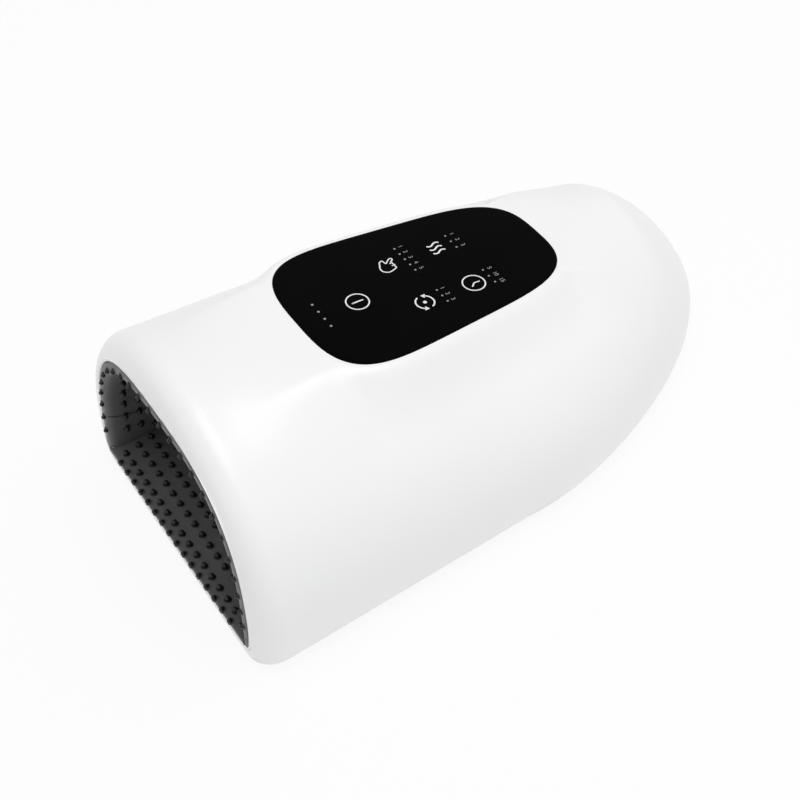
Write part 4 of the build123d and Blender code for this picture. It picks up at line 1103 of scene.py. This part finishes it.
def addPowerIcon(bm):
    q, w = printSize, printSize["stroke"]
    addRing(bm, q["power"])
    ends = movedTo(q["power"], ((0, -q["bar"]), (0, q["bar"])))
    addStroke(bm, ends, w * q["barStroke"])
    for u, v in ends:
        addDisc(bm, u, v, w * q["barEnd"])


def addTimeIcon(bm):
    addRing(bm, printSize["time"])
    addStroke(bm, movedTo(printSize["time"], printSize["hands"]), printSize["stroke"])


def addHeatIcon(bm, steps=24):
    q = printSize
    for u in q["heat"]:
        wave = []
        for k in range(steps + 1):
            aside = q["heatWave"] * sin(2 * pi * k / steps)
            wave.append((u + aside, q["heatFoot"] + q["heatLength"] * k / steps))
        addStroke(bm, wave, q["stroke"] * q["heatStroke"])


# two arcs with arrow heads that chase each other round a dot
def addModeIcon(bm):
    q = printSize
    for turn in (0.0, pi):
        arc = arcPoints(*q["mode"], q["modeArc"], turn + q["modeStart"], q["modeSweep"], 30)
        addStroke(bm, arc, q["stroke"] * q["modeStroke"])
        end = Vector(arc[-1])
        run = (end - Vector(arc[-2])).normalized()
        side = Vector((-run.y, run.x)) * q["headHalf"]
        back = run * q["headBack"]
        head = (end + side - back, end + run * q["headLength"], end - side - back)
        bm.faces.new(ringOf(bm, [printSpot(p.x, p.y) for p in head]))
    addDisc(bm, *q["mode"], q["modeDot"])


# a hand with one raised finger
def addStrengthIcon(bm):
    q, w = printSize, printSize["stroke"]
    addStroke(bm, roundLine(movedTo(q["strength"], handLine)), w * q["handStroke"], True)
    for line in fingerLines:
        addStroke(bm, movedTo(q["strength"], line), w * q["fingerStroke"])


def addNumeral(bm, text, u, v):
    curve = bpy.data.curves.new("numeral", "FONT")
    curve.body = text
    curve.size = printSize["numeral"]
    curve.align_x = "CENTER"
    curve.align_y = "CENTER"
    holder = bpy.data.objects.new("numeral", curve)
    bpy.context.scene.collection.objects.link(holder)
    bpy.context.view_layer.update()
    mesh = bpy.data.meshes.new_from_object(holder.evaluated_get(bpy.context.evaluated_depsgraph_get()))
    verts = ringOf(bm, [printSpot(u + c.co.x, v + c.co.y) for c in mesh.vertices])
    for polygon in mesh.polygons:
        bm.faces.new([verts[i] for i in polygon.vertices]).material_index = 1
    bpy.data.objects.remove(holder)
    bpy.data.curves.remove(curve)
    bpy.data.meshes.remove(mesh)


def makePrint():
    bm = bmesh.new()
    for addIcon in (addPowerIcon, addTimeIcon, addHeatIcon, addModeIcon, addStrengthIcon):
        addIcon(bm)
    for u, step, v, number, radius in dotRows:
        for k in range(number):
            addDisc(bm, u + step * k, v, radius, 1)
    for v, places in numeralRows:
        for text, u in places.items():
            addNumeral(bm, text, u, v)
    bm.normal_update()
    for face in bm.faces:
        if face.normal.z < 0:
            face.normal_flip()
    return newPiece("panelPrint", bm, [made["printWhite"], made["printGrey"]])


panelPrint = makePrint()
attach(panelPrint, "casing")
print("touch panel made")


# floor, world and lamps, in metres
studio = {
    "floorSize": 6.0, "floorSteps": 12, "floorLevel": -0.0001, "floorRough": 0.9, "floorSpecular": 0.1,
    "floorTones": ((0.9, 0.9, 0.9), (0.89, 0.89, 0.89)), "glow": 0.88, "world": 0.62, "aim": (0, 0, 0.05),
}
lamps = {
    "keyLamp": {"place": (0.25, 0.05, 1.5), "energy": 9.0, "size": 1.1},
    "fillLamp": {"place": (1.3, 0.2, 0.9), "energy": 1.3, "size": 1.0},
}


# the ray's outputs, and 1 for a camera ray or a glossy ray, else 0
def rayKinds(tree):
    rays = tree.nodes.new("ShaderNodeLightPath").outputs
    return rays, mathNode(tree, "MAXIMUM", rays["Is Camera Ray"], rays["Is Glossy Ray"])


# a floor that takes shadows and glows only for rays that look at it
def makeFloor():
    q = studio
    bm = bmesh.new()
    line = [q["floorSize"] * (k / q["floorSteps"] - 0.5) for k in range(q["floorSteps"] + 1)]
    skinRings(bm, [ringOf(bm, [(x, y, q["floorLevel"]) for x in line]) for y in line], closed=False)
    material, tree, shader, where = startFinish("paleFloor")
    tones = blendTones(tree, noiseOf(tree, where, 3.0), q["floorTones"])
    rough, specular = q["floorRough"], q["floorSpecular"]
    wire(tree, shader, {"Base Color": tones, "Roughness": rough, "Specular IOR Level": specular})
    glow = newNode(tree, "ShaderNodeEmission", {"Color": (1, 1, 1, 1)})
    share = mathNode(tree, "MULTIPLY", rayKinds(tree)[1], q["glow"])
    mix = {"Fac": share, 1: shader.outputs["BSDF"], 2: glow.outputs["Emission"]}
    surface = newNode(tree, "ShaderNodeMixShader", mix).outputs["Shader"]
    wire(tree, tree.nodes["Material Output"], {"Surface": surface})
    newPiece("paleFloor", bm, [material])


# a world that looks white and lights the part less
def makeWorld():
    world = bpy.data.worlds.new("softWorld")
    bpy.context.scene.world = world
    world.use_nodes = True
    tree = world.node_tree
    rays, seen = rayKinds(tree)
    clear = mathNode(tree, "MAXIMUM", seen, rays["Is Transmission Ray"])
    strength = mapRange(tree, clear, studio["world"], 1.0, 0.0, 1.0)
    wire(tree, tree.nodes["Background"], {"Color": (1, 1, 1, 1), "Strength": strength})


def addLamp(name, look):
    data = bpy.data.lights.new(name, "AREA")
    data.energy = look["energy"]
    data.size = look["size"]
    lamp = bpy.data.objects.new(name, data)
    lamp.location = look["place"]
    aim = Vector(studio["aim"]) - Vector(look["place"])
    lamp.rotation_euler = aim.to_track_quat("-Z", "Y").to_euler()
    bpy.context.scene.collection.objects.link(lamp)


makeFloor()
makeWorld()
for name, look in lamps.items():
    addLamp(name, look)
bpy.context.scene.view_settings.view_transform = "Standard"
print("stage made")
